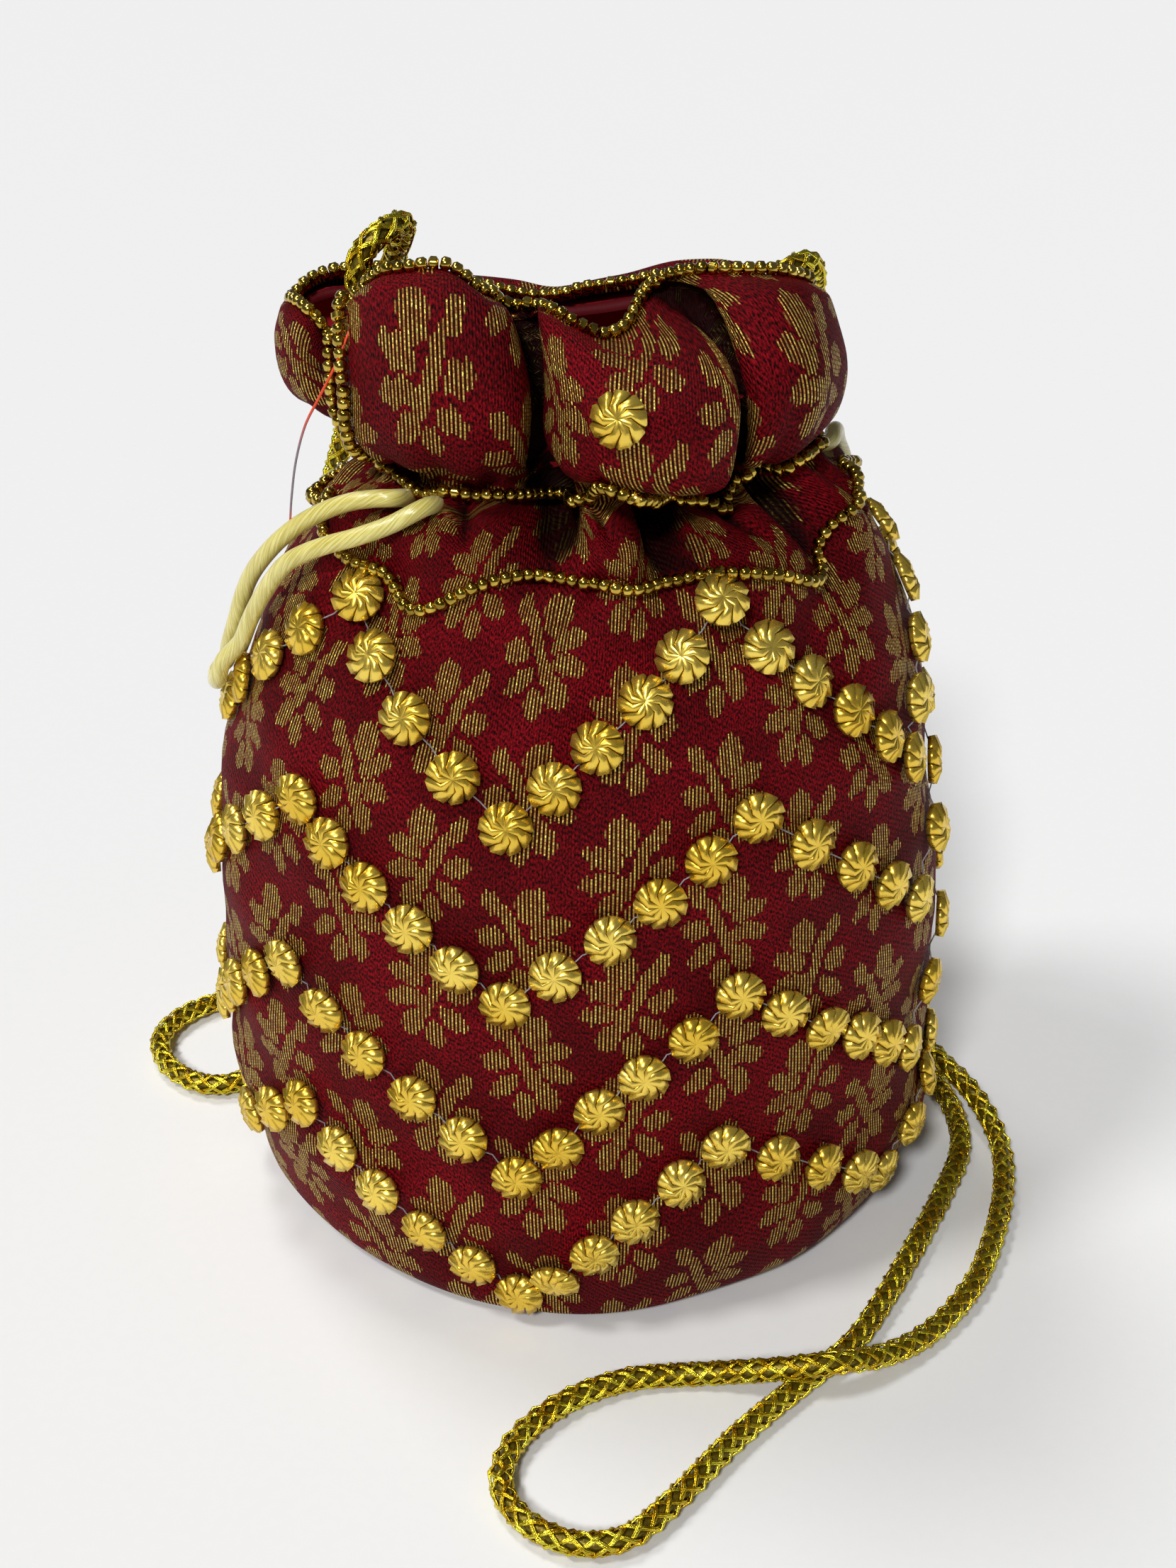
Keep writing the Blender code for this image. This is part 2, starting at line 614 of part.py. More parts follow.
def clear_of(points, trees, need):
    """Moves the points of a cord out until each is clear of every tree."""
    out = []
    for p in points:
        q = Vector(p)
        for _ in range(12):
            moved = False
            for tree in trees:
                spot, normal, _index, gap = tree.find_nearest(q * MM)
                away = q * MM - spot
                inside = away.dot(normal) < -0.5 * gap
                if inside and gap < 2.0 * need * MM:
                    q = q + normal * (gap / MM + need)
                    moved = True
                elif gap < need * MM:
                    q = q + away.normalized() * (need - gap / MM + 0.02)
                    moved = True
            if not moved:
                break
        out.append(q)
    return out


def tube(name, points, diameter, mat, collection):
    """A plain tube along a polyline, as a curve with a round bevel and filled caps."""
    curve = bpy.data.curves.new(name, "CURVE")
    curve.dimensions = "3D"
    curve.bevel_depth = diameter * 0.5 * MM
    curve.bevel_resolution = 2
    curve.use_fill_caps = True
    curve.resolution_u = 1
    curve.render_resolution_u = 0
    spline = curve.splines.new("POLY")
    spline.points.add(len(points) - 1)
    for point, p in zip(spline.points, points):
        point.co = (p.x * MM, p.y * MM, p.z * MM, 1.0)
    obj = bpy.data.objects.new(name, curve)
    obj.data.materials.append(mat)
    collection.objects.link(obj)
    return obj


def seed_loop(name, centres, normals, mat, collection):
    """A closed string of seed beads: rings of a few sides swept round the bag."""
    n = len(centres)
    radius = SEED_D * 0.5
    bm = bmesh.new()
    rings = []
    for i in range(n):
        ahead = (centres[(i + 1) % n] - centres[i - 1]).normalized()
        side = ahead.cross(normals[i]).normalized()
        lift = side.cross(ahead).normalized()
        ring = []
        for k in range(SEED_SIDES):
            a = 2.0 * math.pi * (k + 0.5) / SEED_SIDES
            p = centres[i] + side * (math.cos(a) * radius) + lift * (math.sin(a) * radius)
            ring.append(bm.verts.new(p * MM))
        rings.append(ring)
    for i in range(n):
        ra = rings[i]
        rb = rings[(i + 1) % n]
        for k in range(SEED_SIDES):
            m = (k + 1) % SEED_SIDES
            bm.faces.new((ra[k], ra[m], rb[m], rb[k]))
    return add_object(name, bm, mat, collection)


def surface_line(levels, steps, tree):
    """Centres and normals of a seed string laid on the cloth along a wavy level line."""
    centres = []
    normals = []
    radius = SEED_D * 0.5
    for i in range(steps):
        c = i * N_COL / steps
        k = int(math.floor(c))
        w = spline_weights(c - k)
        v = sum(w[d] * levels[(k - 1 + d) % N_COL] for d in range(4))
        p = cloth_point(c, v)
        n = cloth_normal(c, v)
        hit = tree.ray_cast((p + n * 4.0) * MM, -n, 8.0 * MM)
        if hit[0] is not None:
            p = hit[0] / MM
        centres.append(p + n * (radius + SEED_GAP))
        normals.append(n)
    return centres, normals


def eased(centres, passes):
    """A closed line with its sharp turns pulled straight, as a tight thread lies."""
    n = len(centres)
    for _ in range(passes):
        centres = [(centres[i - 1] + centres[i] * 2.0 + centres[(i + 1) % n]) * 0.25
                   for i in range(n)]
    return centres


def rim_line(steps):
    centres = []
    normals = []
    for i in range(steps):
        c = i * N_COL / steps
        p = cloth_point(c, float(V_TOP))
        n = cloth_normal(c, float(V_TOP))
        up = Vector((0.0, 0.0, 1.0))
        centres.append(p - n * (CLOTH_T * 0.5) + up * (SEED_D * 0.5 + SEED_GAP))
        normals.append(up)
    return centres, normals


def build():
    start_clean()
    bag = make_collection("potli_bag")
    brocade = material("brocade_maroon", (0.16, 0.008, 0.022), 0.0, 0.55)
    satin = material("lining_red_satin", (0.35, 0.01, 0.03), 0.0, 0.35)
    gold = material("flower_bead_gold", (0.83, 0.60, 0.16), 1.0, 0.28)
    bronze = material("seed_bead_bronze", (0.42, 0.30, 0.06), 1.0, 0.25)
    cream = material("satin_cord_cream", (0.80, 0.74, 0.36), 0.0, 0.35)
    zari = material("handle_cord_gold", (0.66, 0.52, 0.06), 1.0, 0.32)

    shell = cloth_wall("outer_shell", 0.0, CLOTH_T, 0.0, brocade, bag)
    tree = surface_tree(shell)
    lining_out = CLOTH_T + LINING_GAP
    lining = cloth_wall("lining", lining_out, lining_out + LINING_T, LINING_DROP, satin, bag)

    rows = []
    for name, corners in ROWS:
        rows.append(flower_row(name, corners, tree, gold, bag))
    single_flower("ruffle_flower", RUFFLE_FLOWER, tree, gold, bag)

    need = SEED_D * 0.5 + SEED_GAP
    centres, normals = rim_line(76)
    centres = clear_of(eased(centres, 5), [tree], need + 0.2)
    rim = seed_loop("seed_string_rim", centres, normals, bronze, bag)
    centres, normals = surface_line(NECK_LINE_V, 100, tree)
    centres = clear_of(eased(centres, 4), [tree, surface_tree(rim)], need + 0.3)
    neck = seed_loop("seed_string_neck", centres, normals, bronze, bag)
    centres, normals = surface_line(SHOULDER_LINE_V, 75, tree)
    centres = clear_of(eased(centres, 2), [surface_tree(rows[0])], need + 1.3)
    centres = clear_of(centres, [tree], need)
    shoulder = seed_loop("seed_string_shoulder", centres, normals, bronze, bag)

    trees = [tree] + [surface_tree(obj) for obj in (rim, neck, shoulder)]
    trees += [surface_tree(obj) for obj in rows]
    trees.append(surface_tree(lining))
    for name, path, diameter, count, mat in (
            ("drawstring_left", SATIN_LEFT, SATIN_D, 28, cream),
            ("drawstring_right", SATIN_RIGHT, SATIN_D, 14, cream),
            ("handle_cord", handle_path(), HANDLE_D, 80, zari)):
        need = diameter * 0.5 + CORD_GAP
        points = clear_of(dense_curve(path, 2.0), trees, need)
        points = clear_of(thin_out(points, count, 14.0), trees, need + 0.3)
        for p in points:
            p.z = max(p.z, diameter * 0.5 + 0.03)
        tube(name, points, diameter, mat, bag)


build()
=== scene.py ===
import math
import random

import bmesh
import bpy
import numpy as np
from mathutils import Matrix, Vector
from mathutils.bvhtree import BVHTree


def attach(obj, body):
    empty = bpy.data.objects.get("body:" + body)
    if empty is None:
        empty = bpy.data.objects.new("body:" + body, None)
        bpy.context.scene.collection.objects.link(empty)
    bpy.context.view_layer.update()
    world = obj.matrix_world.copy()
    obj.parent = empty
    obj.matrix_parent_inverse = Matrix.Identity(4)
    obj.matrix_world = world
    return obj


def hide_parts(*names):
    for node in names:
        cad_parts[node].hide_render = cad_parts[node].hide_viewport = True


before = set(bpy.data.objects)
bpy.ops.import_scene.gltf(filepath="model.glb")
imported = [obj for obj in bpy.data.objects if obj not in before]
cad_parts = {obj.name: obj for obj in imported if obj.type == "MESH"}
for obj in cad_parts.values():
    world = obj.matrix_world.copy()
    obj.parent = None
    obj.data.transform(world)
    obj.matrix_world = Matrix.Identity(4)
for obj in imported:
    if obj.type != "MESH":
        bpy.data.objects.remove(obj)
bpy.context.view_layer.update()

# Potli bag: brocade, beads, satin and knitted gold cord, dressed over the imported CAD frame.
# All sizes are in millimetres until they are multiplied by MM.
MM = 0.001
CLOTH_T = 0.9
LINING_T = 0.4
NYLON_R = 0.16
STRAY_R = 0.27
FLOWER_D = 10.0
SEED_D = 2.45
SATIN_D = 3.3

# Camera.
scene = bpy.context.scene
camera = bpy.data.objects.new("camera", bpy.data.cameras.new("camera"))
camera.data.lens = 50.7
camera.data.sensor_width = 36.0
camera.location = (0.002, -0.388, 0.316)
camera.rotation_euler = (math.radians(60.0), 0.0, 0.0)
scene.collection.objects.link(camera)
scene.camera = camera


# Node helpers.
class Nodes:
    """A small writer for one material's node tree."""

    def __init__(self, name):
        self.material = bpy.data.materials.new(name)
        self.material.use_nodes = True
        self.tree = self.material.node_tree
        self.shader = self.tree.nodes["Principled BSDF"]

    def add(self, kind, links=(), **settings):
        node = self.tree.nodes.new(kind)
        for key, value in settings.items():
            setattr(node, key, value)
        for socket, value in dict(links).items():
            self.feed(node.inputs[socket], value)
        return node

    def feed(self, socket, value):
        if isinstance(value, bpy.types.NodeSocket):
            self.tree.links.new(value, socket)
        else:
            socket.default_value = value

    def math(self, operation, a, b=None):
        links = {0: a} if b is None else {0: a, 1: b}
        return self.add("ShaderNodeMath", links, operation=operation).outputs[0]

    def times(self, a, b):
        return self.math("MULTIPLY", a, b)

    def plus(self, a, b):
        return self.math("ADD", a, b)

    def centred(self, value):
        """The value's fraction, from -0.5 to 0.5."""
        return self.math("SUBTRACT", self.math("FRACT", value), 0.5)

    def ramp(self, value, low, high, to_low=0.0, to_high=1.0):
        """Smooth step of a value from one range to another."""
        links = dict(enumerate((value, low, high, to_low, to_high)))
        return self.add("ShaderNodeMapRange", links, interpolation_type="SMOOTHSTEP").outputs[0]

    def mix(self, share, a, b):
        """Blend of two colours. A plain colour has three numbers."""
        a, b = [(*value, 1.0) if isinstance(value, tuple) else value for value in (a, b)]
        return self.add("ShaderNodeMix", {0: share, 6: a, 7: b}, data_type="RGBA").outputs[2]

    def here(self):
        return self.add("ShaderNodeTexCoord").outputs["Object"]

    def cloth(self):
        """The map of cloth lengths, and its two parts."""
        uv = self.add("ShaderNodeUVMap", uv_map="cloth").outputs[0]
        split = self.add("ShaderNodeSeparateXYZ", {"Vector": uv}).outputs
        return uv, split[0], split[1]

    def noise(self, vector, scale, detail=2.0, rough=0.5):
        return self.add("ShaderNodeTexNoise", {"Vector": vector, "Scale": scale, "Detail": detail,
                                               "Roughness": rough}).outputs["Fac"]

    def stretch(self, vector, scale, turn=0.0, kind="POINT", shift=(0.0, 0.0, 0.0)):
        links = {"Vector": vector, "Location": shift, "Rotation": (0.0, 0.0, turn), "Scale": scale}
        return self.add("ShaderNodeMapping", links, vector_type=kind).outputs[0]

    def bump(self, height, distance, strength=1.0):
        return self.add("ShaderNodeBump", {"Height": height, "Distance": distance,
                                           "Strength": strength}).outputs[0]

    def set(self, **values):
        names = {"colour": "Base Color", "metallic": "Metallic", "roughness": "Roughness",
                 "normal": "Normal", "sheen": "Sheen Weight", "specular": "Specular IOR Level",
                 "coat": "Coat Weight", "coat_rough": "Coat Roughness"}
        for key, value in values.items():
            self.feed(self.shader.inputs[names[key]], value)
        return self.material


# Materials.
SPRIG_W = 18.77           # width of one column of sprigs, millimetres of cloth
SPRIG_H = 27.0
# Petals of one sprig: centre x, y, half-width, half-height, turn in degrees.
SPRIG = [(1.5, 7.6, 3.3, 4.1, -8), (-5.7, 7.6, 1.9, 3.3, 28), (4.7, 3.2, 4.3, 2.2, 22),
         (5.3, -1.5, 4.1, 2.2, -10), (-1.9, 2.4, 1.5, 6.2, 22), (-6.2, 0.7, 3.1, 2.4, -12),
         (-4.6, -4.8, 3.8, 2.1, 38), (-1.0, -8.8, 2.2, 3.3, -8), (3.5, -6.8, 2.5, 3.6, 26),
         (0.8, -2.7, 1.7, 2.7, 0)]
ZARI_PITCH = SPRIG_W / 25


def brocade_material():
    n = Nodes("maroon zari brocade")
    uv, u, v = n.cloth()
    # The woven figure ends on whole threads, each a little longer or shorter than the next.
    thread = n.times(u, 1.0 / ZARI_PITCH)
    whole = n.math("FLOOR", thread)
    ragged = n.add("ShaderNodeTexWhiteNoise", {"W": whole}, noise_dimensions="1D").outputs["Value"]
    woven_u = n.times(n.plus(whole, 0.5), ZARI_PITCH)
    woven_v = n.plus(v, n.times(n.math("SUBTRACT", ragged, 0.5), 1.1))
    column = n.math("FLOOR", n.math("DIVIDE", woven_u, SPRIG_W))
    odd = n.math("FLOORED_MODULO", column, 2.0)
    x = n.times(n.centred(n.math("DIVIDE", woven_u, SPRIG_W)), SPRIG_W)
    x = n.times(x, n.math("SUBTRACT", 1.0, n.times(odd, 2.0)))
    lifted = n.plus(woven_v, n.times(odd, 0.5 * SPRIG_H))
    y = n.times(n.centred(n.math("DIVIDE", lifted, SPRIG_H)), SPRIG_H)
    place = n.add("ShaderNodeCombineXYZ", {"X": x, "Y": y}).outputs[0]
    nearest = None
    for cx, cy, half_w, half_h, turn in SPRIG:
        local = n.stretch(place, (half_w, half_h, 1.0), math.radians(turn), "TEXTURE",
                          (cx, cy, 0.0))
        reach = n.add("ShaderNodeVectorMath", {0: local}, operation="LENGTH").outputs["Value"]
        nearest = reach if nearest is None else n.math("MINIMUM", nearest, reach)
    petal = n.ramp(nearest, 0.88, 0.94, 1.0, 0.0)
    # Zari threads: upright lines of short floats.
    line = n.math("ABSOLUTE", n.centred(thread))
    line = n.ramp(line, 0.13, 0.27, 1.0, 0.0)
    step = n.plus(n.times(v, 1.0 / 0.66), n.times(whole, 0.37))
    float_ = n.math("ABSOLUTE", n.centred(step))
    float_ = n.ramp(float_, 0.30, 0.46, 1.0, 0.35)
    cell = n.add("ShaderNodeCombineXYZ", {"X": whole, "Y": n.math("FLOOR", step)})
    chance = n.add("ShaderNodeTexWhiteNoise", {"Vector": cell.outputs[0]}, noise_dimensions="2D")
    glint = n.math("POWER", chance.outputs["Value"], 1.3)
    zari = n.times(petal, n.times(line, float_))
    # Silk ground: short streaks along the warp and a fine rib.
    streak = n.noise(n.stretch(uv, (2.5, 1.5, 1.0)), 1.0, 3.0, 0.65)
    cloud = n.noise(n.stretch(uv, (0.05, 0.05, 1.0)), 1.0, 2.0, 0.5)
    rib = n.math("SINE", n.times(n.plus(v, n.times(u, 0.6)), 5.6))
    warp = n.math("SINE", n.times(u, 11.2))
    streak = n.plus(streak, n.times(rib, 0.03))
    silk = n.mix(n.ramp(streak, 0.37, 0.65), (0.012, 0.0001, 0.0002),
                 (0.28, 0.0022, 0.0085))
    silk = n.mix(n.ramp(cloud, 0.35, 0.65, 0.0, 0.45), silk, (0.016, 0.0002, 0.0003))
    gold = n.mix(glint, (0.60, 0.27, 0.06), (1.0, 0.76, 0.16))
    under = n.mix(n.times(petal, 0.85), silk, (0.020, 0.002, 0.001))
    colour = n.mix(zari, under, gold)
    # Painted shade: the cloth's colour is darkened in the hollows of the gathers, where light
    # doesn't reach.
    painted_fold_shade = n.add("ShaderNodeAttribute", attribute_name="painted_fold_shade").outputs["Fac"]
    colour = n.mix(n.ramp(painted_fold_shade, 0.0, 0.85, 0.0, 0.93), colour, (0.006, 0.0003, 0.0003))
    rough = n.plus(n.times(zari, -0.3), 0.62)
    height = n.plus(n.times(rib, 0.4), n.times(warp, 0.25))
    height = n.plus(height, n.times(streak, 1.2))
    height = n.plus(height, n.times(zari, 0.8))
    normal = n.bump(height, 0.00018, 1.0)
    return n.set(colour=colour, metallic=n.times(zari, 0.7), roughness=rough,
                 normal=normal, specular=0.07)


def lining_material():
    n = Nodes("red satin lining")
    uv, _, v = n.cloth()
    thread = n.noise(n.stretch(uv, (4.0, 0.6, 1.0)), 1.0, 2.0, 0.6)
    red = n.mix(thread, (0.28, 0.006, 0.012), (0.50, 0.02, 0.035))
    # Painted shade: the top edge of the lining, inside the mouth under the rim, is darkened.
    edge = n.ramp(v, LINING_TOP - 1.4, LINING_TOP - 1.1, 0.0, 0.8)
    colour = n.mix(edge, red, (0.05, 0.002, 0.004))
    return n.set(colour=colour, roughness=0.6, specular=0.15,
                 normal=n.bump(thread, 0.00008, 0.5))


def flower_material():
    n = Nodes("moulded gold plate")
    here = n.here()
    wear = n.noise(here, 900.0, 3.0, 0.6)
    tone = n.noise(here, 45.0, 1.0, 0.5)
    groove = n.add("ShaderNodeAttribute", attribute_name="groove").outputs["Fac"]
    colour = n.mix(n.ramp(tone, 0.3, 0.7), (0.84, 0.55, 0.05), (0.98, 0.73, 0.13))
    # Painted shade: the grooves between the petals, and a little at the centre, are darkened.
    colour = n.mix(n.ramp(groove, 0.55, 0.95, 0.0, 0.92), colour, (0.09, 0.045, 0.004))
    rough = n.ramp(wear, 0.3, 0.7, 0.22, 0.32)
    return n.set(colour=colour, metallic=0.85, roughness=rough, normal=n.bump(wear, 0.00002, 0.3))


def seed_material():
    n = Nodes("antique gold glass bead")
    here = n.here()
    tone = n.noise(here, 320.0, 1.0, 0.5)
    colour = n.mix(n.ramp(tone, 0.35, 0.65), (0.28, 0.18, 0.016), (0.68, 0.48, 0.07))
    return n.set(colour=colour, metallic=1.0, roughness=0.17, coat=0.3, coat_rough=0.1)


def satin_material():
    n = Nodes("cream satin cord")
    _, along, round_ = n.cloth()
    lean = n.plus(n.times(along, 0.045), round_)
    place = n.add("ShaderNodeCombineXYZ", {"X": n.times(lean, 26.0), "Y": n.times(along, 0.12)})
    twist = n.noise(place.outputs[0], 1.0, 3.0, 0.7)
    colour = n.mix(n.ramp(twist, 0.35, 0.65), (0.56, 0.46, 0.07), (0.86, 0.78, 0.27))
    return n.set(colour=colour, roughness=0.26, sheen=0.2, specular=0.8, coat=0.25, coat_rough=0.2,
                 normal=n.bump(twist, 0.0002, 0.7))


def handle_material():
    n = Nodes("metallic gold yarn")
    here = n.here()
    fine = n.noise(here, 1600.0, 2.0, 0.7)
    tone = n.noise(here, 260.0, 2.0, 0.6)
    colour = n.mix(n.ramp(tone, 0.35, 0.65), (0.62, 0.40, 0.015), (0.86, 0.76, 0.06))
    return n.set(colour=colour, metallic=1.0, roughness=n.ramp(fine, 0.3, 0.7, 0.16, 0.34),
                 normal=n.bump(fine, 0.0002, 0.8))


def core_material():
    n = Nodes("shaded yarn core")
    here = n.here()
    fine = n.noise(here, 700.0, 2.0, 0.6)
    colour = n.mix(fine, (0.06, 0.04, 0.004), (0.30, 0.22, 0.02))
    return n.set(colour=colour, metallic=0.7, roughness=0.4, normal=n.bump(fine, 0.0003, 0.8))


def stray_material():
    n = Nodes("orange thread, pale grey in the middle")
    here = n.here()
    z = n.add("ShaderNodeSeparateXYZ", {"Vector": here}).outputs[2]
    twist = n.noise(here, 2500.0, 2.0, 0.6)
    orange = n.mix(twist, (0.62, 0.03, 0.008), (0.95, 0.10, 0.02))
    grey = n.mix(twist, (0.16, 0.12, 0.15), (0.34, 0.28, 0.32))
    # The middle stretch of the thread is coloured pale grey.
    pale = n.times(n.ramp(z, 0.170, 0.180, 1.0, 0.0), n.ramp(z, 0.156, 0.160))
    return n.set(colour=n.mix(pale, orange, grey), roughness=0.5,
                 normal=n.bump(twist, 0.00005, 0.5))


def thread_material(name, dark, light):
    n = Nodes(name)
    here = n.here()
    twist = n.noise(here, 2500.0, 2.0, 0.6)
    return n.set(colour=n.mix(twist, dark, light), roughness=0.45,
                 normal=n.bump(twist, 0.00005, 0.5))


# The cloth surface.
COL_T = [-180, -167, -154, -141, -128, -116, -105, -95, -86, -77, -67, -56, -45, -33, -21, -10,
         -1, 8, 17, 26, 36, 46, 55, 65, 77, 92, 108, 124, 142, 161]
N_COL = len(COL_T)
BODY_LEVELS = [
    (0.0, 62.0, 54.0, 1.0, 1.75), (2.0, 67.5, 57.5, 1.0, 1.75), (8.0, 71.0, 59.0, 1.0, 1.75),
    (22.0, 73.5, 59.0, 1.0, 1.8), (40.0, 74.0, 58.0, 0.5, 1.85), (60.0, 74.0, 56.5, 0.0, 1.9),
    (82.0, 72.5, 54.5, 0.0, 1.95), (102.0, 70.0, 53.0, 0.0, 2.0), (119.0, 66.5, 50.0, 0.5, 2.0),
    (133.0, 62.0, 46.0, 1.5, 2.0), (144.0, 57.0, 41.5, 2.5, 2.0), (152.5, 51.5, 36.5, 3.5, 2.0),
    (159.5, 46.5, 32.0, 3.5, 2.0), (164.0, 41.5, 26.0, 2.5, 2.0), (167.5, 40.5, 24.5, 1.5, 2.0)]
GATHERS = {
    11: [0, 1.5, 0, -1.5, 1, 1.5, -1, 1, -1, 1, 1.5, 0.5, -0.5, 1.5, 1.5, -1.5,
         1, 1.5, -2.5, 1, 2, 1.5, -3, 1.5, 2, 0, 1, -1, 1.5, 1],
    12: [-2, 2, 2, -4, 2, 2.5, -3, 1.5, -3, 0.5, 2.5, 3.5, 3, 4.5, 3, -9,
         3.5, 5, -9, 2.5, 4.5, 1.5, -9, 3.5, 4, 0, 2.5, -4, 2.5, 2],
    13: [-3, 2, 2, -5, 2, 2.5, -4, 1.5, -4, -0.5, 2, 3, 2.5, 4, 0.5, -10,
         3.5, 4.5, -8, 0.5, 2, -0.5, -8, 2, 3, 0, 2, -5, 2, 2],
    14: [-2, 1.5, 1, -3, 1, 2, -2, 1, -2, -2, 0.5, 1.5, 1.5, 1.5, -1, -6,
         0, 0.5, -1.5, -1, -3.5, -1, -2, 1, 1.5, 0, 1, -4, 1, 1]}
SAG = [0] * 9 + [-0.5, -1, -1.5, -1.5, -1.5, -1.5, -1, -1, -1.2, -2, -3, -3, -2, -1] + [0] * 7
SAG_SHARE = {12: 0.35, 13: 0.8, 14: 1.0}
RUFFLE_MID_Z = 184.0
RUFFLE_FOOT = 0.364
TOP_IN = 0.42
TOP_UP = 0.84
CURL = {0: 1.5, 1: 1.5, 25: 0.5, 26: 1.5, 27: 3.0, 28: 3.0, 29: 2.0}
RUFFLE_MID = [(-2, 21), (-12, 27), (-24, 27), (-33, 20), (-41, 22), (-50, 19), (-55, 10),
              (-55, 1), (-50.5, -5.5), (-45.5, -7), (-42, -14), (-37, -23), (-29, -29), (-18, -30),
              (-10, -26.5), (-7.5, -15), (-4, -28), (3, -37), (14, -39.5), (27.5, -34), (27.5, -17),
              (32, -25), (41, -22), (46, -13), (49, -3), (47, 8), (41, 16), (31, 18), (21, 25),
              (9, 26)]
RIM = [(-4, 10, 5), (-12, 11, 5.5), (-22, 10.5, 8), (-31, 9.5, 10), (-40, 12, 9), (-48, 11, 8),
       (-52, 6, 6), (-50, 0, 7), (-47, -4, 6), (-43, -3, -1), (-39, -7, 11), (-34, -12, 17),
       (-29, -14, 18.5), (-22.5, -13.5, 18), (-16.5, -12, 14.5), (-11, -9, 12.5), (-6, -12.5, 12),
       (-0.5, -15.5, 10), (5, -15.5, 7.5), (9, -12, 8.5), (12, -6, 13), (18, -8.5, 16),
       (27, -10.5, 17.5), (36, -8, 16.5), (42, -2, 12), (41, 4.5, 6.5), (35, 8, 7),
       (27, 8.5, 10), (18, 9, 10), (7, 10, 7)]
SLIT = {8: -1.0, 9: -3.5, 10: -1.0}
# Soft dents in the body: start angle and height, end angle and height, width, depth.
DENTS = [(12.0, 150.0, -6.0, 118.0, 8.0, 3.0), (52.0, 150.0, 44.0, 122.0, 7.0, 2.2),
         (-40.0, 148.0, -26.0, 128.0, 7.0, 1.6), (-12.0, 152.0, -22.0, 136.0, 6.0, 1.5),
         (130.0, 150.0, 140.0, 122.0, 8.0, 2.0), (-150.0, 150.0, -142.0, 120.0, 8.0, 2.0)]


def control_net():
    """Rings of control points from the base up to the rim, as the CAD shell has them."""
    net = []
    for k, (z, half_w, half_d, cx, roundness) in enumerate(BODY_LEVELS):
        ring = []
        for i in range(N_COL):
            t = math.radians(COL_T[i])
            extra = GATHERS[k][i] if k in GATHERS else 0.0
            sx = math.copysign(abs(math.sin(t)) ** (2.0 / roundness), math.sin(t))
            sy = math.copysign(abs(math.cos(t)) ** (2.0 / roundness), math.cos(t))
            ring.append((cx + (half_w + extra) * sx, -(half_d + extra) * sy,
                         z + SAG_SHARE.get(k, 0.0) * SAG[i]))
        net.append(ring)
    cinch = net[-1]
    foot_z = BODY_LEVELS[-1][0] + RUFFLE_FOOT * (RUFFLE_MID_Z - BODY_LEVELS[-1][0])
    low = [(a[0] + 0.78 * (b[0] - a[0]), a[1] + 0.78 * (b[1] - a[1]),
            foot_z + 1.1 * SAG[i] + 0.1 * SLIT.get(i, 0.0))
           for i, (a, b) in enumerate(zip(cinch, RUFFLE_MID))]
    mid = [(x, y, RUFFLE_MID_Z + SLIT.get(i, 0.0)) for i, (x, y) in enumerate(RUFFLE_MID)]
    rim = [(x, y, RUFFLE_MID_Z + up) for x, y, up in RIM]
    high = [(a[0] + TOP_IN * (b[0] - a[0]), a[1] + TOP_IN * (b[1] - a[1]),
             a[2] + TOP_UP * (b[2] - a[2]) + CURL.get(i, 0.0))
            for i, (a, b) in enumerate(zip(mid, rim))]
    return np.array(net + [low, mid, high, rim], dtype=float)


NET = control_net()


def weights(f):
    return np.stack([0.5 * (-f + 2 * f * f - f ** 3), 0.5 * (2 - 5 * f * f + 3 * f ** 3),
                     0.5 * (f + 4 * f * f - 3 * f ** 3), 0.5 * (-f * f + f ** 3)], axis=-1)


def column_angle(c):
    """Body angle in degrees at each column number."""
    c = np.asarray(c, dtype=float)
    angles = np.array(COL_T + [180.0])
    turns = np.floor(c / N_COL)
    return np.interp(c - turns * N_COL, np.arange(N_COL + 1), angles) + 360.0 * turns


def column_at(t):
    """Column number at body angle t."""
    turns = math.floor((t + 180.0) / 360.0)
    return float(np.interp(t - 360.0 * turns, COL_T + [180.0], range(N_COL + 1))) + N_COL * turns


def smooth_cloth(cols, levels):
    """The CAD shell's surface on a grid of columns and levels, in millimetres."""
    cols = np.asarray(cols, dtype=float)
    levels = np.asarray(levels, dtype=float)
    inside = np.maximum(levels, 0.0)
    i = np.floor(cols).astype(int)
    k = np.minimum(np.floor(inside).astype(int), len(NET) - 2)
    wc = weights(cols - i)
    wv = weights(inside - k)
    ci = (i[:, None] - 1 + np.arange(4)) % N_COL
    vi = np.clip(k[:, None] - 1 + np.arange(4), 0, len(NET) - 1)
    patch = NET[vi[:, :, None, None], ci[None, None, :, :]]
    grid = np.einsum("mr,nc,mrncx->mnx", wv, wc, patch)
    t = column_angle(cols)[None, :]
    depth = np.zeros(grid.shape[:2])
    for t0, z0, t1, z1, width, amount in DENTS:
        for turn in (-360.0, 0.0, 360.0):
            ax, az, bx, bz = (t0 + turn) * 1.05, z0, (t1 + turn) * 1.05, z1
            lx, lz = bx - ax, bz - az
            s = ((t * 1.05 - ax) * lx + (grid[..., 2] - az) * lz) / (lx * lx + lz * lz)
            s = np.clip(s, 0.0, 1.0)
            gap = np.hypot(t * 1.05 - ax - s * lx, grid[..., 2] - az - s * lz)
            depth += amount * (1.0 - 0.6 * s) * np.exp(-(gap / width) ** 2)
    depth *= ((levels > 6.0) & (levels < 13.0))[:, None]
    out = grid[..., :2] / np.array([1.8, 1.0])
    out /= np.maximum(np.linalg.norm(out, axis=-1, keepdims=True), 1e-6)
    grid[..., :2] -= out * depth[..., None]
    shrink = np.clip(1.0 + levels, 0.0, 1.0)[:, None]
    grid[..., 0] = 1.0 + (grid[..., 0] - 1.0) * shrink
    grid[..., 1] *= shrink
    return grid


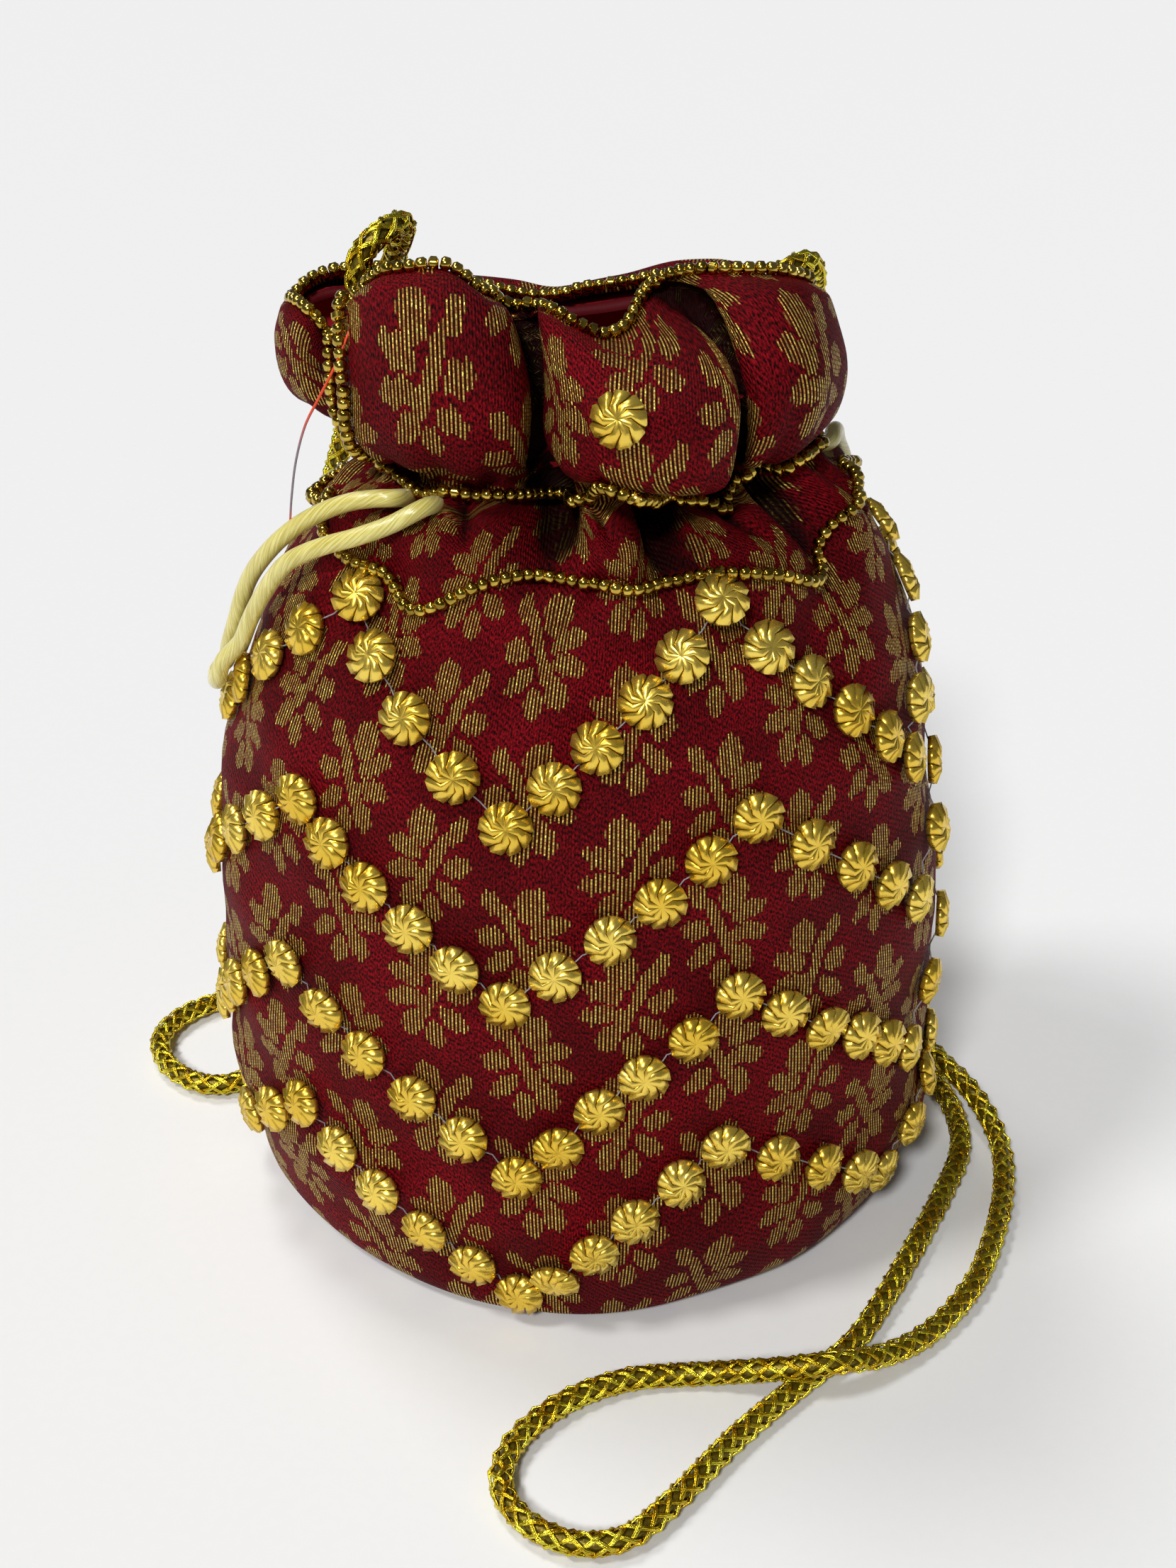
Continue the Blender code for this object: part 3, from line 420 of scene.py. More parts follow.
def grid_normals(grid):
    """Outward unit normals of a closed ring grid."""
    along = np.roll(grid, -1, axis=1) - np.roll(grid, 1, axis=1)
    up = np.gradient(grid, axis=0)
    n = np.cross(along, up)
    return n / np.maximum(np.linalg.norm(n, axis=-1, keepdims=True), 1e-9)


def level_at(z):
    """Level at a height of the body, measured up the back as in the CAD source."""
    heights = smooth_cloth([0.0], np.linspace(0.0, 15.0, 301))[:, 0, 2]
    return float(np.interp(z, heights, np.linspace(0.0, 15.0, 301)))


ROWS = [
    ("flower_row_1", [(-11, 112), (24, 148.5), (66, 110), (97, 147), (132, 112), (168, 147),
                      (204, 112), (238, 146), (274, 114), (311, 146)]),
    ("flower_row_2", [(-11, 76.5), (28, 112), (66, 79), (97, 110), (132, 77), (168, 110),
                      (204, 77), (238, 110), (274, 79), (312, 109.5)]),
    ("flower_row_3", [(-11, 38.5), (25, 76), (64, 44), (97, 73), (132, 40), (168, 74),
                      (204, 40), (238, 73), (274, 42), (310, 73)]),
    ("flower_row_4", [(-13, 7.5), (24, 42), (60, 15), (97, 38), (132, 9), (168, 38),
                      (204, 9), (238, 38), (274, 11), (311, 40)])]


COLS = 300
LEVELS = np.concatenate([np.linspace(-0.97, -0.05, 8), np.linspace(0.0, 2.0, 7)[:-1],
                         np.linspace(2.0, 10.0, 49)[:-1], np.linspace(10.0, 18.0, 73)])
COLUMNS = np.arange(COLS) * N_COL / COLS

rng = np.random.default_rng(11)
NECK_V = 13.9
GATHER_COUNT = 84


def gather_folds(cols, levels):
    """Gathers drawn in by the string: narrow at the neck, wider and lower away from it."""
    total = np.zeros((len(levels), len(cols)))
    away = np.abs(levels - NECK_V)
    upper = levels > NECK_V
    for _ in range(GATHER_COUNT):
        c0 = rng.uniform(0.0, N_COL)
        lean = rng.uniform(-0.35, 0.35)
        reach = np.where(upper, rng.uniform(0.7, 2.6), rng.uniform(1.0, 3.4))
        width = 0.15 + 0.11 * away * rng.uniform(0.7, 1.5)
        size = rng.uniform(0.35, 1.25) * rng.choice([-1.0, -1.0, 0.8])
        fade = np.clip(1.0 - away / reach, 0.0, 1.0) ** 1.3
        gap = cols[None, :] - (c0 + lean * (levels - NECK_V))[:, None]
        gap = (gap + 0.5 * N_COL) % N_COL - 0.5 * N_COL
        total += (size * fade)[:, None] * np.exp(-(gap / width[:, None]) ** 2)
    return np.clip(total, -2.6, 1.4)


def soft_waves(u, v):
    """Low, slack ripples of the stuffed cloth."""
    total = np.zeros(np.broadcast(u, v).shape)
    for _ in range(12):
        wave = rng.uniform(13.0, 44.0)
        lean = rng.uniform(-1.1, 1.1)
        phase = rng.uniform(0.0, 6.28)
        rounds = max(1, round(math.sin(lean) * CLOTH_ROUND / wave))
        ku = 2.0 * math.pi * rounds / CLOTH_ROUND
        kv = 2.0 * math.pi * math.cos(lean) / wave
        total += rng.uniform(0.08, 0.22) * np.sin(ku * u + kv * v + phase)
    return total


# Creases: column and level at both ends, width in millimetres and depth in millimetres.
CREASES = [(15.15, 14.3, 14.9, 18.0, 2.4, 6.5), (20.2, 14.2, 20.0, 17.6, 2.4, 6.0),
           (14.9, 18.0, 15.1, 14.8, 1.8, 2.6), (20.0, 17.9, 20.2, 15.0, 1.8, 1.8),
           (15.0, 13.8, 14.9, 10.8, 2.4, 4.4), (18.0, 13.8, 17.7, 10.8, 2.6, 4.4),
           (22.0, 13.8, 22.0, 10.6, 2.6, 4.0), (18.4, 11.2, 19.6, 10.2, 3.2, 1.6),
           (15.9, 11.0, 14.0, 7.7, 3.6, 3.4), (12.6, 14.4, 11.9, 16.4, 1.6, 1.4),
           (13.6, 14.3, 13.3, 15.8, 1.5, 1.2), (17.0, 14.9, 16.4, 16.6, 1.6, 1.4),
           (18.8, 14.7, 18.9, 16.5, 1.5, 1.2), (21.4, 14.3, 21.8, 16.4, 1.8, 1.6),
           (22.6, 14.4, 23.0, 15.9, 1.8, 1.2), (11.2, 13.6, 10.6, 11.4, 2.0, 2.8),
           (13.2, 13.5, 13.6, 11.0, 2.2, 3.4), (16.4, 13.4, 16.6, 11.2, 1.8, 2.8),
           (20.0, 13.4, 20.4, 11.0, 2.3, 3.4), (23.6, 13.4, 23.8, 11.2, 2.0, 2.6),
           (9.4, 13.9, 9.5, 17.6, 1.6, 3.0), (17.6, 9.8, 19.2, 8.4, 3.0, 1.0),
           (12.0, 10.3, 12.6, 8.6, 3.0, 0.8), (21.0, 10.0, 20.2, 8.2, 3.4, 1.0)]


def crease_depth(grid, creases, fading=0.6, sharp=1.5):
    """Depth of creases at every point of the cloth grid; they fade towards their second end."""
    depth = np.zeros(grid.shape[:2])
    for c0, v0, c1, v1, width, amount in creases:
        line = np.linspace(0.0, 1.0, 15)
        cols = c0 + (c1 - c0) * line
        levels = v0 + (v1 - v0) * line
        path = np.array([smooth_cloth([c], [v])[0, 0] for c, v in zip(cols, levels)])
        close = np.full(grid.shape[:2], 1e9)
        share = np.zeros(grid.shape[:2])
        for k, point in enumerate(path):
            gap = np.linalg.norm(grid - point, axis=-1)
            nearer = gap < close
            close = np.where(nearer, gap, close)
            share = np.where(nearer, line[k], share)
        fade = np.clip(1.0 - share, 0.0, 1.0) ** fading
        depth += amount * fade * np.exp(-np.abs(close / width) ** sharp)
    return depth


def pucker(grid):
    """The cloth drawn in a little along the zigzag rows of beads."""
    depth = np.zeros(grid.shape[:2])
    for _name, corners in ROWS:
        for i, (t0, z0) in enumerate(corners):
            t1, z1 = corners[(i + 1) % len(corners)]
            t1 += 360.0 if i + 1 == len(corners) else 0.0
            line = (column_at(t0), level_at(z0), column_at(t1), level_at(z1), 5.0, 0.9)
            depth = np.maximum(depth, crease_depth(grid, [line], 0.0, 2.0))
    return depth - 0.3


def cloth_measure(grid):
    """Running lengths of the cloth: round the body, and up from the centre of the base."""
    k = int(np.argmin(np.abs(LEVELS - 5.0)))
    ring = np.linalg.norm(np.roll(grid[k], -1, axis=0) - grid[k], axis=1)
    u = np.concatenate([[0.0], np.cumsum(ring)])
    u *= CLOTH_ROUND / u[-1]
    rise = np.linalg.norm(np.diff(grid, axis=0), axis=2).mean(axis=1)
    v = np.concatenate([[0.0], np.cumsum(rise)])
    return u, v


CLOTH_ROUND = 22 * SPRIG_W
smooth = smooth_cloth(COLUMNS, LEVELS)
CLOTH_U, CLOTH_V = cloth_measure(smooth)
LINING_TOP = float(CLOTH_V[-1])
folds = gather_folds(COLUMNS, LEVELS) - crease_depth(smooth, CREASES)
folds -= pucker(smooth) * np.clip(LEVELS - 0.6, 0.0, 1.0)[:, None] * (LEVELS < 11.5)[:, None]
calm = np.clip(LEVELS / 1.5, 0.0, 1.0)[:, None]
folds += soft_waves(CLOTH_U[None, :-1], CLOTH_V[:, None]) * calm
CLOTH = smooth + grid_normals(smooth) * folds[..., None]
CLOTH[..., 2] = np.maximum(CLOTH[..., 2], 0.0)
CLOTH_N = grid_normals(CLOTH)


# Hidden folds that take up cloth: column below the neck and above it.
CUTS = [(0.5, 0.5), (3.2, 3.2), (6.3, 6.6), (9.5, 9.2), (15.0, 15.0), (18.0, 20.2), (22.0, 24.9),
        (27.4, 27.4)]
# One sprig on each lobe of the ruffle, from the first cut on: column, level, odd column of sprigs.
LOBE_SPRIGS = [(1.8, 16.0, 0), (4.8, 16.3, 1), (7.8, 16.1, 0), (12.3, 16.2, 1), (16.1, 16.0, 0),
               (22.4, 16.1, 1), (26.0, 16.0, 0), (29.0, 16.0, 1)]


def around(c, marks, lengths):
    """Length at a column, from a table of one round whose last entry is the whole round."""
    turns = math.floor(c / N_COL)
    return float(np.interp(c - turns * N_COL, marks, lengths)) + turns * lengths[-1]


def step_up(x, low, high):
    f = np.clip((x - low) / (high - low), 0.0, 1.0)
    return f * f * (3.0 - 2.0 * f)


def lobe_lengths(grid, u, v):
    """Cloth lengths for both edges of every column of faces, cut in the hidden folds.

    Between two cuts the cloth runs at its true length, so the sprigs keep their size.
    """
    rows, cols = grid.shape[:2]
    steps = np.linalg.norm(np.roll(grid, -1, axis=1) - grid, axis=2)
    run = np.concatenate([np.zeros((rows, 1)), np.cumsum(steps, axis=1)], axis=1)
    marks = np.arange(cols + 1) * N_COL / cols
    share = step_up(LEVELS, 12.7, 13.7)
    above = step_up(LEVELS, 13.6, 14.8)
    lift = step_up(LEVELS, 13.4, 14.6)
    left = np.zeros((rows, cols))
    right = np.zeros((rows, cols))
    rise = np.zeros((rows, cols))
    for k in range(rows):
        cuts = [low + (high - low) * above[k] for low, high in CUTS]
        for j in range(cols):
            c = (j + 0.5) * N_COL / cols
            lobe = sum(1 for cut in cuts if cut <= c) - 1
            turned = 0.0
            if lobe < 0:
                lobe = len(cuts) - 1
                turned = 1.0
            anchor, level, odd = LOBE_SPRIGS[lobe]
            want = around(anchor, marks, u) / SPRIG_W
            want = (2.0 * round(0.5 * (want - 0.5 - odd)) + 0.5 + odd) * SPRIG_W
            base = want - around(anchor, marks, run[k])
            here = np.array([j, j + 1])
            lengths = run[k, here] + turned * run[k, -1] + base
            body = u[here] + turned * u[-1]
            mixed = body + share[k] * (lengths - body)
            left[k, j], right[k, j] = mixed
            spot_v = float(np.interp(level, LEVELS, v))
            want_v = (math.floor(spot_v / SPRIG_H) + 0.5 * (1 - odd)) * SPRIG_H
            shift = (want_v - spot_v + 0.5 * SPRIG_H) % SPRIG_H - 0.5 * SPRIG_H
            rise[k, j] = v[k] + lift[k] * shift
    return left, right, rise


def link(name, mesh, material, nodes=()):
    """A finished piece at the origin, riding on the bag."""
    obj = bpy.data.objects.new(name, mesh)
    scene.collection.objects.link(obj)
    mesh.materials.clear()
    mesh.materials.append(material)
    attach(obj, "root")
    if nodes:
        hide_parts(*nodes)
    return obj


def hollows(grid):
    """How far each point lies in a hollow between the points round it, from 0 to 1; the brocade's
    colour is darkened by it as painted shade.
    """
    rows = np.arange(len(grid))
    mean = np.zeros_like(grid)
    count = 0
    for across in range(-9, 10, 3):
        for up in (-4, -2, 0, 2, 4):
            mean += np.roll(grid, across, axis=1)[np.clip(rows + up, 0, len(grid) - 1)]
            count += 1
    depth = np.sum((mean / count - grid) * grid_normals(grid), axis=-1)
    depth *= step_up(LEVELS, 9.5, 11.5)[:, None]
    return np.clip((depth - 0.25) / 1.9, 0.0, 1.0)


def to_mesh(bm, name, smooth=True, sharp=None):
    for face in bm.faces:
        face.smooth = smooth
    mesh = bpy.data.meshes.new(name)
    bm.to_mesh(mesh)
    bm.free()
    if sharp is not None:
        mesh.set_sharp_from_angle(angle=math.radians(sharp))
    return mesh


def cloth_mesh(name, points, left, right, rise, painted_fold_shade=None):
    """A closed tube of cloth from a flat grid, with its lengths in millimetres as the UV map."""
    rows, cols = points.shape[:2]
    bm = bmesh.new()
    shade = bm.verts.layers.float.new("painted_fold_shade")
    bm.loops.layers.uv.new("cloth")
    bmesh.ops.create_grid(bm, x_segments=cols, y_segments=rows - 1, size=0.5, calc_uvs=True)
    layer = bm.loops.layers.uv.active
    for face in bm.faces:
        first = min(int(round(loop[layer].uv.x * cols)) for loop in face.loops)
        for loop in face.loops:
            uv = loop[layer].uv
            i = int(round(uv.x * cols))
            k = int(round(uv.y * (rows - 1)))
            uv.x = left[k, first] if i == first else right[k, first]
            uv.y = rise[k, first]
    for vert in bm.verts:
        i = int(round((vert.co.x + 0.5) * cols)) % cols
        k = int(round((vert.co.y + 0.5) * (rows - 1)))
        vert.co = Vector(points[k, i]) * MM
        vert[shade] = 0.0 if painted_fold_shade is None else float(painted_fold_shade[k, i])
    bmesh.ops.remove_doubles(bm, verts=bm.verts, dist=1e-7)
    hole = [e for e in bm.edges if e.is_boundary and e.verts[0].co.z < 0.02]
    bmesh.ops.contextual_create(bm, geom=hole)
    bmesh.ops.recalc_face_normals(bm, faces=bm.faces)
    return to_mesh(bm, name)


def thicken(obj, thickness):
    wall = obj.modifiers.new("wall", "SOLIDIFY")
    wall.thickness = thickness * MM
    wall.offset = -1.0
    wall.use_even_offset = False


BROCADE = brocade_material()
cloth = link("brocade_cloth", cloth_mesh("brocade_cloth", CLOTH,
                                         *lobe_lengths(CLOTH, CLOTH_U, CLOTH_V),
                                         hollows(CLOTH)), BROCADE,
             ["outer_shell"])
thicken(cloth, CLOTH_T)


def mesh_tree(mesh):
    bm = bmesh.new()
    bm.from_mesh(mesh)
    tree = BVHTree.FromBMesh(bm)
    bm.free()
    return tree


TREE = mesh_tree(cloth.data)


def under_cloth(grid, need):
    """Moves each point in until it lies a given depth under the brocade."""
    for _ in range(3):
        for k in range(grid.shape[0]):
            for i in range(grid.shape[1]):
                p = Vector(grid[k, i])
                near, normal, _index, _gap = TREE.find_nearest(p * MM)
                depth = (near / MM - p).dot(normal)
                if depth < need:
                    grid[k, i] = p - normal * (need - depth)
    return grid


tuck = 1.9 + 2.6 * step_up(LEVELS, 11.0, 13.0) * (1.0 - step_up(LEVELS, 15.6, 17.2))
rows = np.arange(len(LEVELS))
deep = -folds
for across in range(-6, 7):
    for up in (-3, 0, 3):
        near = np.roll(-folds, across, axis=1)[np.clip(rows + up, 0, len(LEVELS) - 1)]
        deep = np.maximum(deep, near)
inner = smooth - grid_normals(smooth) * (deep + tuck[:, None])[..., None]
inner = under_cloth(inner[::2, ::2], 1.7)
inner[..., 2] = np.maximum(inner[..., 2], 1.6)
inner[-1, :, 2] -= 1.8
lining_u = np.broadcast_to(CLOTH_U[::2], (len(inner), inner.shape[1] + 1))
lining_v = np.broadcast_to(CLOTH_V[::2, None], inner.shape[:2])
lining = link("lining_cloth", cloth_mesh("lining_cloth", inner, lining_u[:, :-1], lining_u[:, 1:],
                                         lining_v), lining_material(), ["lining"])
thicken(lining, LINING_T)


def spot(c, level):
    """Point and outward normal of the folded cloth at a column and level."""
    x = (c % N_COL) * COLS / N_COL
    i = int(math.floor(x)) % COLS
    j = (i + 1) % COLS
    fx = x - math.floor(x)
    k = min(int(np.searchsorted(LEVELS, level)), len(LEVELS) - 1)
    k = max(k, 1)
    fy = float((level - LEVELS[k - 1]) / (LEVELS[k] - LEVELS[k - 1]))
    out = []
    for grid in (CLOTH, CLOTH_N):
        low = grid[k - 1, i] * (1 - fx) + grid[k - 1, j] * fx
        high = grid[k, i] * (1 - fx) + grid[k, j] * fx
        out.append(Vector(low * (1 - fy) + high * fy))
    return out[0], out[1].normalized()


# Flower beads.
def row_places(corners):
    """Column and level of each bead of a zigzag row."""
    places = []
    for i, (t0, z0) in enumerate(corners):
        t1, z1 = corners[(i + 1) % len(corners)]
        if i + 1 == len(corners):
            t1 += 360.0
        line = [spot(column_at(t0 + f * (t1 - t0)), level_at(z0 + f * (z1 - z0)))[0]
                for f in (0.0, 0.25, 0.5, 0.75, 1.0)]
        length = sum((b - a).length for a, b in zip(line, line[1:]))
        steps = min(5, int(length / 10.7))
        for k in range(steps):
            f = k / steps
            places.append((column_at(t0 + f * (t1 - t0)), level_at(z0 + f * (z1 - z0))))
    return places


def flower_bead():
    """One moulded bead: nine fluted petals that swirl round a point, on a scalloped dish."""
    petals = 9
    bm = bmesh.new()
    groove = bm.verts.layers.float.new("groove")
    made = bmesh.ops.create_circle(bm, segments=3 * petals, radius=1.0, cap_ends=False)
    rings = [made["verts"]]
    edges = list(bm.edges)
    for _ in range(2):
        grown = bmesh.ops.extrude_edge_only(bm, edges=edges)["geom"]
        rings.append([g for g in grown if isinstance(g, bmesh.types.BMVert)])
        edges = [g for g in grown if isinstance(g, bmesh.types.BMEdge)
                 and all(v in rings[-1] for v in g.verts)]
    # Each ring: reach and height of a petal's near and far side, reach and height in the groove
    # between two petals, and swirl.
    shape = [(0.95, 0.3, 0.3, 0.89, 0.3, 0.0), (1.0, 1.95, 1.5, 0.9, 1.1, 0.0),
             (0.5, 3.0, 2.7, 0.47, 2.4, 0.42)]
    for verts, (crest, near, far, dip, low, swirl) in zip(rings, shape):
        for vert in verts:
            turn = math.atan2(vert.co.y, vert.co.x)
            k = int(round(turn * 1.5 * petals / math.pi)) % (3 * petals)
            a = (k // 3 + (0.0, 0.2, 0.8)[k % 3]) * 2.0 * math.pi / petals + swirl
            reach = 0.5 * FLOWER_D * (crest if k % 3 else dip)
            vert.co = Vector((math.cos(a) * reach, math.sin(a) * reach,
                              (low, near, far)[k % 3]))
            # The groove mark also darkens the colour here, as painted shade.
            vert[groove] = 0.0 if k % 3 else 1.0
    top = bmesh.ops.contextual_create(bm, geom=edges)["faces"]
    tip = bmesh.ops.poke(bm, faces=top)["verts"][0]
    tip.co = Vector((0.0, 0.0, 2.8))
    tip[groove] = 0.6
    for edge in bm.edges:
        ends = [v[groove] for v in edge.verts]
        edge.smooth = min(ends) < 0.5
    bmesh.ops.contextual_create(bm, geom=[e for e in bm.edges if e.is_boundary])
    bmesh.ops.recalc_face_normals(bm, faces=bm.faces)
    bmesh.ops.scale(bm, vec=(MM, MM, MM), verts=bm.verts)
    return to_mesh(bm, "flower_bead_shape", smooth=False)


def seed_bead():
    """A short glass tube with rounded ends."""
    bm = bmesh.new()
    bmesh.ops.create_cone(bm, cap_ends=True, segments=8, radius1=0.5 * SEED_D * MM,
                          radius2=0.5 * SEED_D * MM, depth=2.0 * MM)
    rims = [e for e in bm.edges if abs(e.verts[0].co.z - e.verts[1].co.z) < 1e-6]
    bmesh.ops.bevel(bm, geom=rims, offset=0.45 * MM, segments=1, profile=0.5, affect="EDGES",
                    material=-1)
    return to_mesh(bm, "seed_bead_shape", smooth=False)


# Shape, material, slot and sharp angle of each kind of bead.
BEADS = {"flower": (flower_bead(), flower_material(), "flower_bead", None),
         "seed": (seed_bead(), seed_material(), "seed_bead", 50.0)}
NYLON = thread_material("grey nylon thread", (0.10, 0.09, 0.10), (0.45, 0.43, 0.45))


def seat(centre, normal, ahead, side, radius, clearance):
    """Lift along the normal at which a flat disc clears the folded cloth."""
    lift = -9.0
    for k in range(13):
        a = 2.0 * math.pi * k / 12
        out = (ahead * math.cos(a) + side * math.sin(a)) * (radius if k < 12 else 0.0)
        hit = TREE.ray_cast((centre + out + normal * 7.0) * MM, -normal, 12.0 * MM)
        if hit[0] is not None:
            lift = max(lift, (hit[0] / MM - centre - out).dot(normal))
    return (lift if lift > -8.0 else 0.0) + clearance


def link_beads(name, kind, frames, nodes=()):
    """One piece with a copy of a bead at each frame."""
    shape, material, slot_name, sharp = BEADS[kind]
    bm = bmesh.new()
    for matrix in frames:
        before = len(bm.verts)
        bm.from_mesh(shape)
        bm.verts.ensure_lookup_table()
        bmesh.ops.transform(bm, matrix=matrix, verts=bm.verts[before:])
    link(name, to_mesh(bm, name, sharp=sharp), material, nodes)


def frame_matrix(origin, x_axis, y_axis, z_axis):
    return Matrix(((x_axis.x, y_axis.x, z_axis.x, origin.x * MM),
                   (x_axis.y, y_axis.y, z_axis.y, origin.y * MM),
                   (x_axis.z, y_axis.z, z_axis.z, origin.z * MM), (0.0, 0.0, 0.0, 1.0)))


def bead_frame(c, level, heading, turn, tip=(0.0, 0.0)):
    centre, normal = spot(c, level)
    side = heading.cross(normal).normalized()
    ahead = normal.cross(side).normalized()
    normal = (normal + ahead * tip[0] + side * tip[1]).normalized()
    side = heading.cross(normal).normalized()
    ahead = normal.cross(side).normalized()
    lift = seat(centre, normal, ahead, side, 0.47 * FLOWER_D, 0.1)
    x_axis = ahead * math.cos(turn) + side * math.sin(turn)
    y_axis = normal.cross(x_axis)
    return frame_matrix(centre + normal * lift, x_axis, y_axis, normal)


def curve_mesh(name, lines, radius, sides=0):
    """Round threads along several lines, made with a bevelled curve and kept as a mesh."""
    curve = bpy.data.curves.new(name, "CURVE")
    curve.dimensions = "3D"
    curve.bevel_depth = radius * MM
    curve.bevel_resolution = sides
    curve.use_fill_caps = True
    for line in lines:
        spline = curve.splines.new("POLY")
        spline.points.add(len(line) - 1)
        flat = np.ones((len(line), 4))
        flat[:, :3] = np.asarray([tuple(p) for p in line]) * MM
        spline.points.foreach_set("co", flat.ravel())
    obj = bpy.data.objects.new(name, curve)
    scene.collection.objects.link(obj)
    shown = obj.evaluated_get(bpy.context.evaluated_depsgraph_get())
    mesh = bpy.data.meshes.new_from_object(shown)
    bpy.data.objects.remove(obj)
    mesh.name = name
    mesh.shade_smooth()
    return mesh


luck = random.Random(5)
thread_lines = []
for name, corners in ROWS:
    places = row_places(corners)
    count = len(places)
    frames = []
    centres = []
    for i, (c, level) in enumerate(places):
        heading = (spot(*places[(i + 1) % count])[0] - spot(*places[i - 1])[0]).normalized()
        tip = (luck.uniform(-0.1, 0.1), luck.uniform(-0.1, 0.1))
        matrix = bead_frame(c, level, heading, luck.uniform(0.0, 6.28), tip)
        frames.append(matrix)
        centres.append(matrix.translation / MM + matrix.col[2].xyz * 0.9)
    link_beads("flower_beads_" + name[-1], "flower", frames, [name])
    for i in range(count):
        a, b = centres[i], centres[(i + 1) % count]
        way = (b - a).normalized()
        if (b - a).length < 9.0:
            continue
        mid = (a + b) * 0.5
        near, out, _index, _gap = TREE.find_nearest(mid * MM)
        thread_lines.append([a + way * 3.9, near / MM + out * 0.35, b - way * 3.9])
link("nylon_threads", curve_mesh("nylon_threads", thread_lines, NYLON_R), NYLON)

link_beads("flower_bead_ruffle", "flower",
           [bead_frame(17.45, 16.05, Vector((1.0, 0.0, 0.0)), 0.3)], ["ruffle_flower"])

# Seed bead strings.
NECK_LINE_V = [14.3] * 9 + [14.2, 13.9, 13.7, 13.2, 13.8, 13.3, 12.9, 13.4, 15.0, 14.7, 13.4, 13.1,
                            14.1, 13.5, 13.6, 14.0] + [14.3] * 5
SHOULDER_LINE_V = [10.8, 11, 11.3, 11, 10.8, 11, 11.3, 11, 11.2, 11.6, 11.1, 10.8, 10.75, 10.25,
                   11.1, 11, 11.2, 10.95, 10.85, 11.3, 11.05, 10.6, 10.8, 11.8, 12.2, 12.2, 11.5,
                   11, 10.8, 11]


def string_frames(points, normals, pitch=2.08, closed=True):
    """Frames of beads threaded along a line, a pitch apart."""
    n = len(points)
    run = [0.0]
    for i in range(n if closed else n - 1):
        run.append(run[-1] + (points[(i + 1) % n] - points[i]).length)
    count = int(run[-1] / pitch)
    frames = []
    k = 0
    for b in range(count):
        want = run[-1] * b / count
        while run[k + 1] < want:
            k += 1
        f = (want - run[k]) / max(run[k + 1] - run[k], 1e-9)
        here = points[k].lerp(points[(k + 1) % n], f)
        ahead = (points[(k + 1) % n] - points[k]).normalized()
        ahead = (ahead + Vector([luck.uniform(-0.16, 0.16) for _ in range(3)])).normalized()
        lift = normals[k].lerp(normals[(k + 1) % n], f)
        side = lift.cross(ahead).normalized()
        lift = ahead.cross(side)
        here = here + lift * luck.uniform(-0.12, 0.12)
        wide = luck.uniform(0.94, 1.1)
        long = luck.uniform(0.86, 1.08)
        frames.append(frame_matrix(here, side * wide, lift * wide, ahead * long))
    return frames


def eased(points, passes):
    n = len(points)
    for _ in range(passes):
        points = [(points[i - 1] + points[i] * 2.0 + points[(i + 1) % n]) * 0.25
                  for i in range(n)]
    return points


def above_cloth(points, need):
    """Moves each point out until it clears the cloth."""
    out = []
    for p in points:
        for _ in range(8):
            near, normal, _index, gap = TREE.find_nearest(p * MM)
            away = p * MM - near
            if away.dot(normal) < 0.0:
                p = p + normal * (gap / MM + need)
            elif gap < need * MM:
                p = p + away.normalized() * (need - gap / MM + 0.02)
            else:
                break
        out.append(p)
    return out


def cloth_line(levels, steps, need):
    points = []
    normals = []
    for i in range(steps):
        c = i * N_COL / steps
        k = int(math.floor(c))
        w = weights(np.array(c - k))
        v = sum(float(w[d]) * levels[(k - 1 + d) % N_COL] for d in range(4))
        p, n = spot(c, v)
        points.append(p + n * need)
        normals.append(n)
    return points, normals


need = 0.5 * SEED_D + 0.1
points, normals = cloth_line([18.0] * N_COL, 300, 0.0)
points = [p - n * 0.45 + Vector((0.0, 0.0, 0.8)) for p, n in zip(points, normals)]
points = above_cloth(eased(points, 3), 0.85)
link_beads("seed_beads_rim", "seed", string_frames(points, [Vector((0.0, 0.0, 1.0))] * len(points)),
           ["seed_string_rim"])
for name, levels, passes in (("neck", NECK_LINE_V, 8), ("shoulder", SHOULDER_LINE_V, 3)):
    points, normals = cloth_line(levels, 240, need)
    points = above_cloth(eased(points, passes), need)
    link_beads("seed_beads_" + name, "seed", string_frames(points, normals),
               ["seed_string_" + name])

# Both edges of the slit at the left of the ruffle: columns and levels from the rim down.
SLIT_LINES = [[(9.45, 17.6), (9.6, 17.0), (9.62, 16.4), (9.6, 15.8), (9.5, 15.1), (9.3, 14.6)],
              [(10.15, 17.3), (10.35, 16.5), (10.5, 15.9), (10.5, 15.3), (10.4, 14.7),
               (10.1, 14.2)]]
frames = []
for knots in SLIT_LINES:
    points = []
    normals = []
    for i in range(len(knots) - 1):
        for f in np.linspace(0.0, 1.0, 8, endpoint=False):
            c = knots[i][0] + f * (knots[i + 1][0] - knots[i][0])
            level = knots[i][1] + f * (knots[i + 1][1] - knots[i][1])
            p, out = spot(c, level)
            points.append(p + out * need)
            normals.append(out)
    points = above_cloth(points, need)
    frames += string_frames(points, normals, closed=False)
link_beads("seed_beads_slit", "seed", frames)

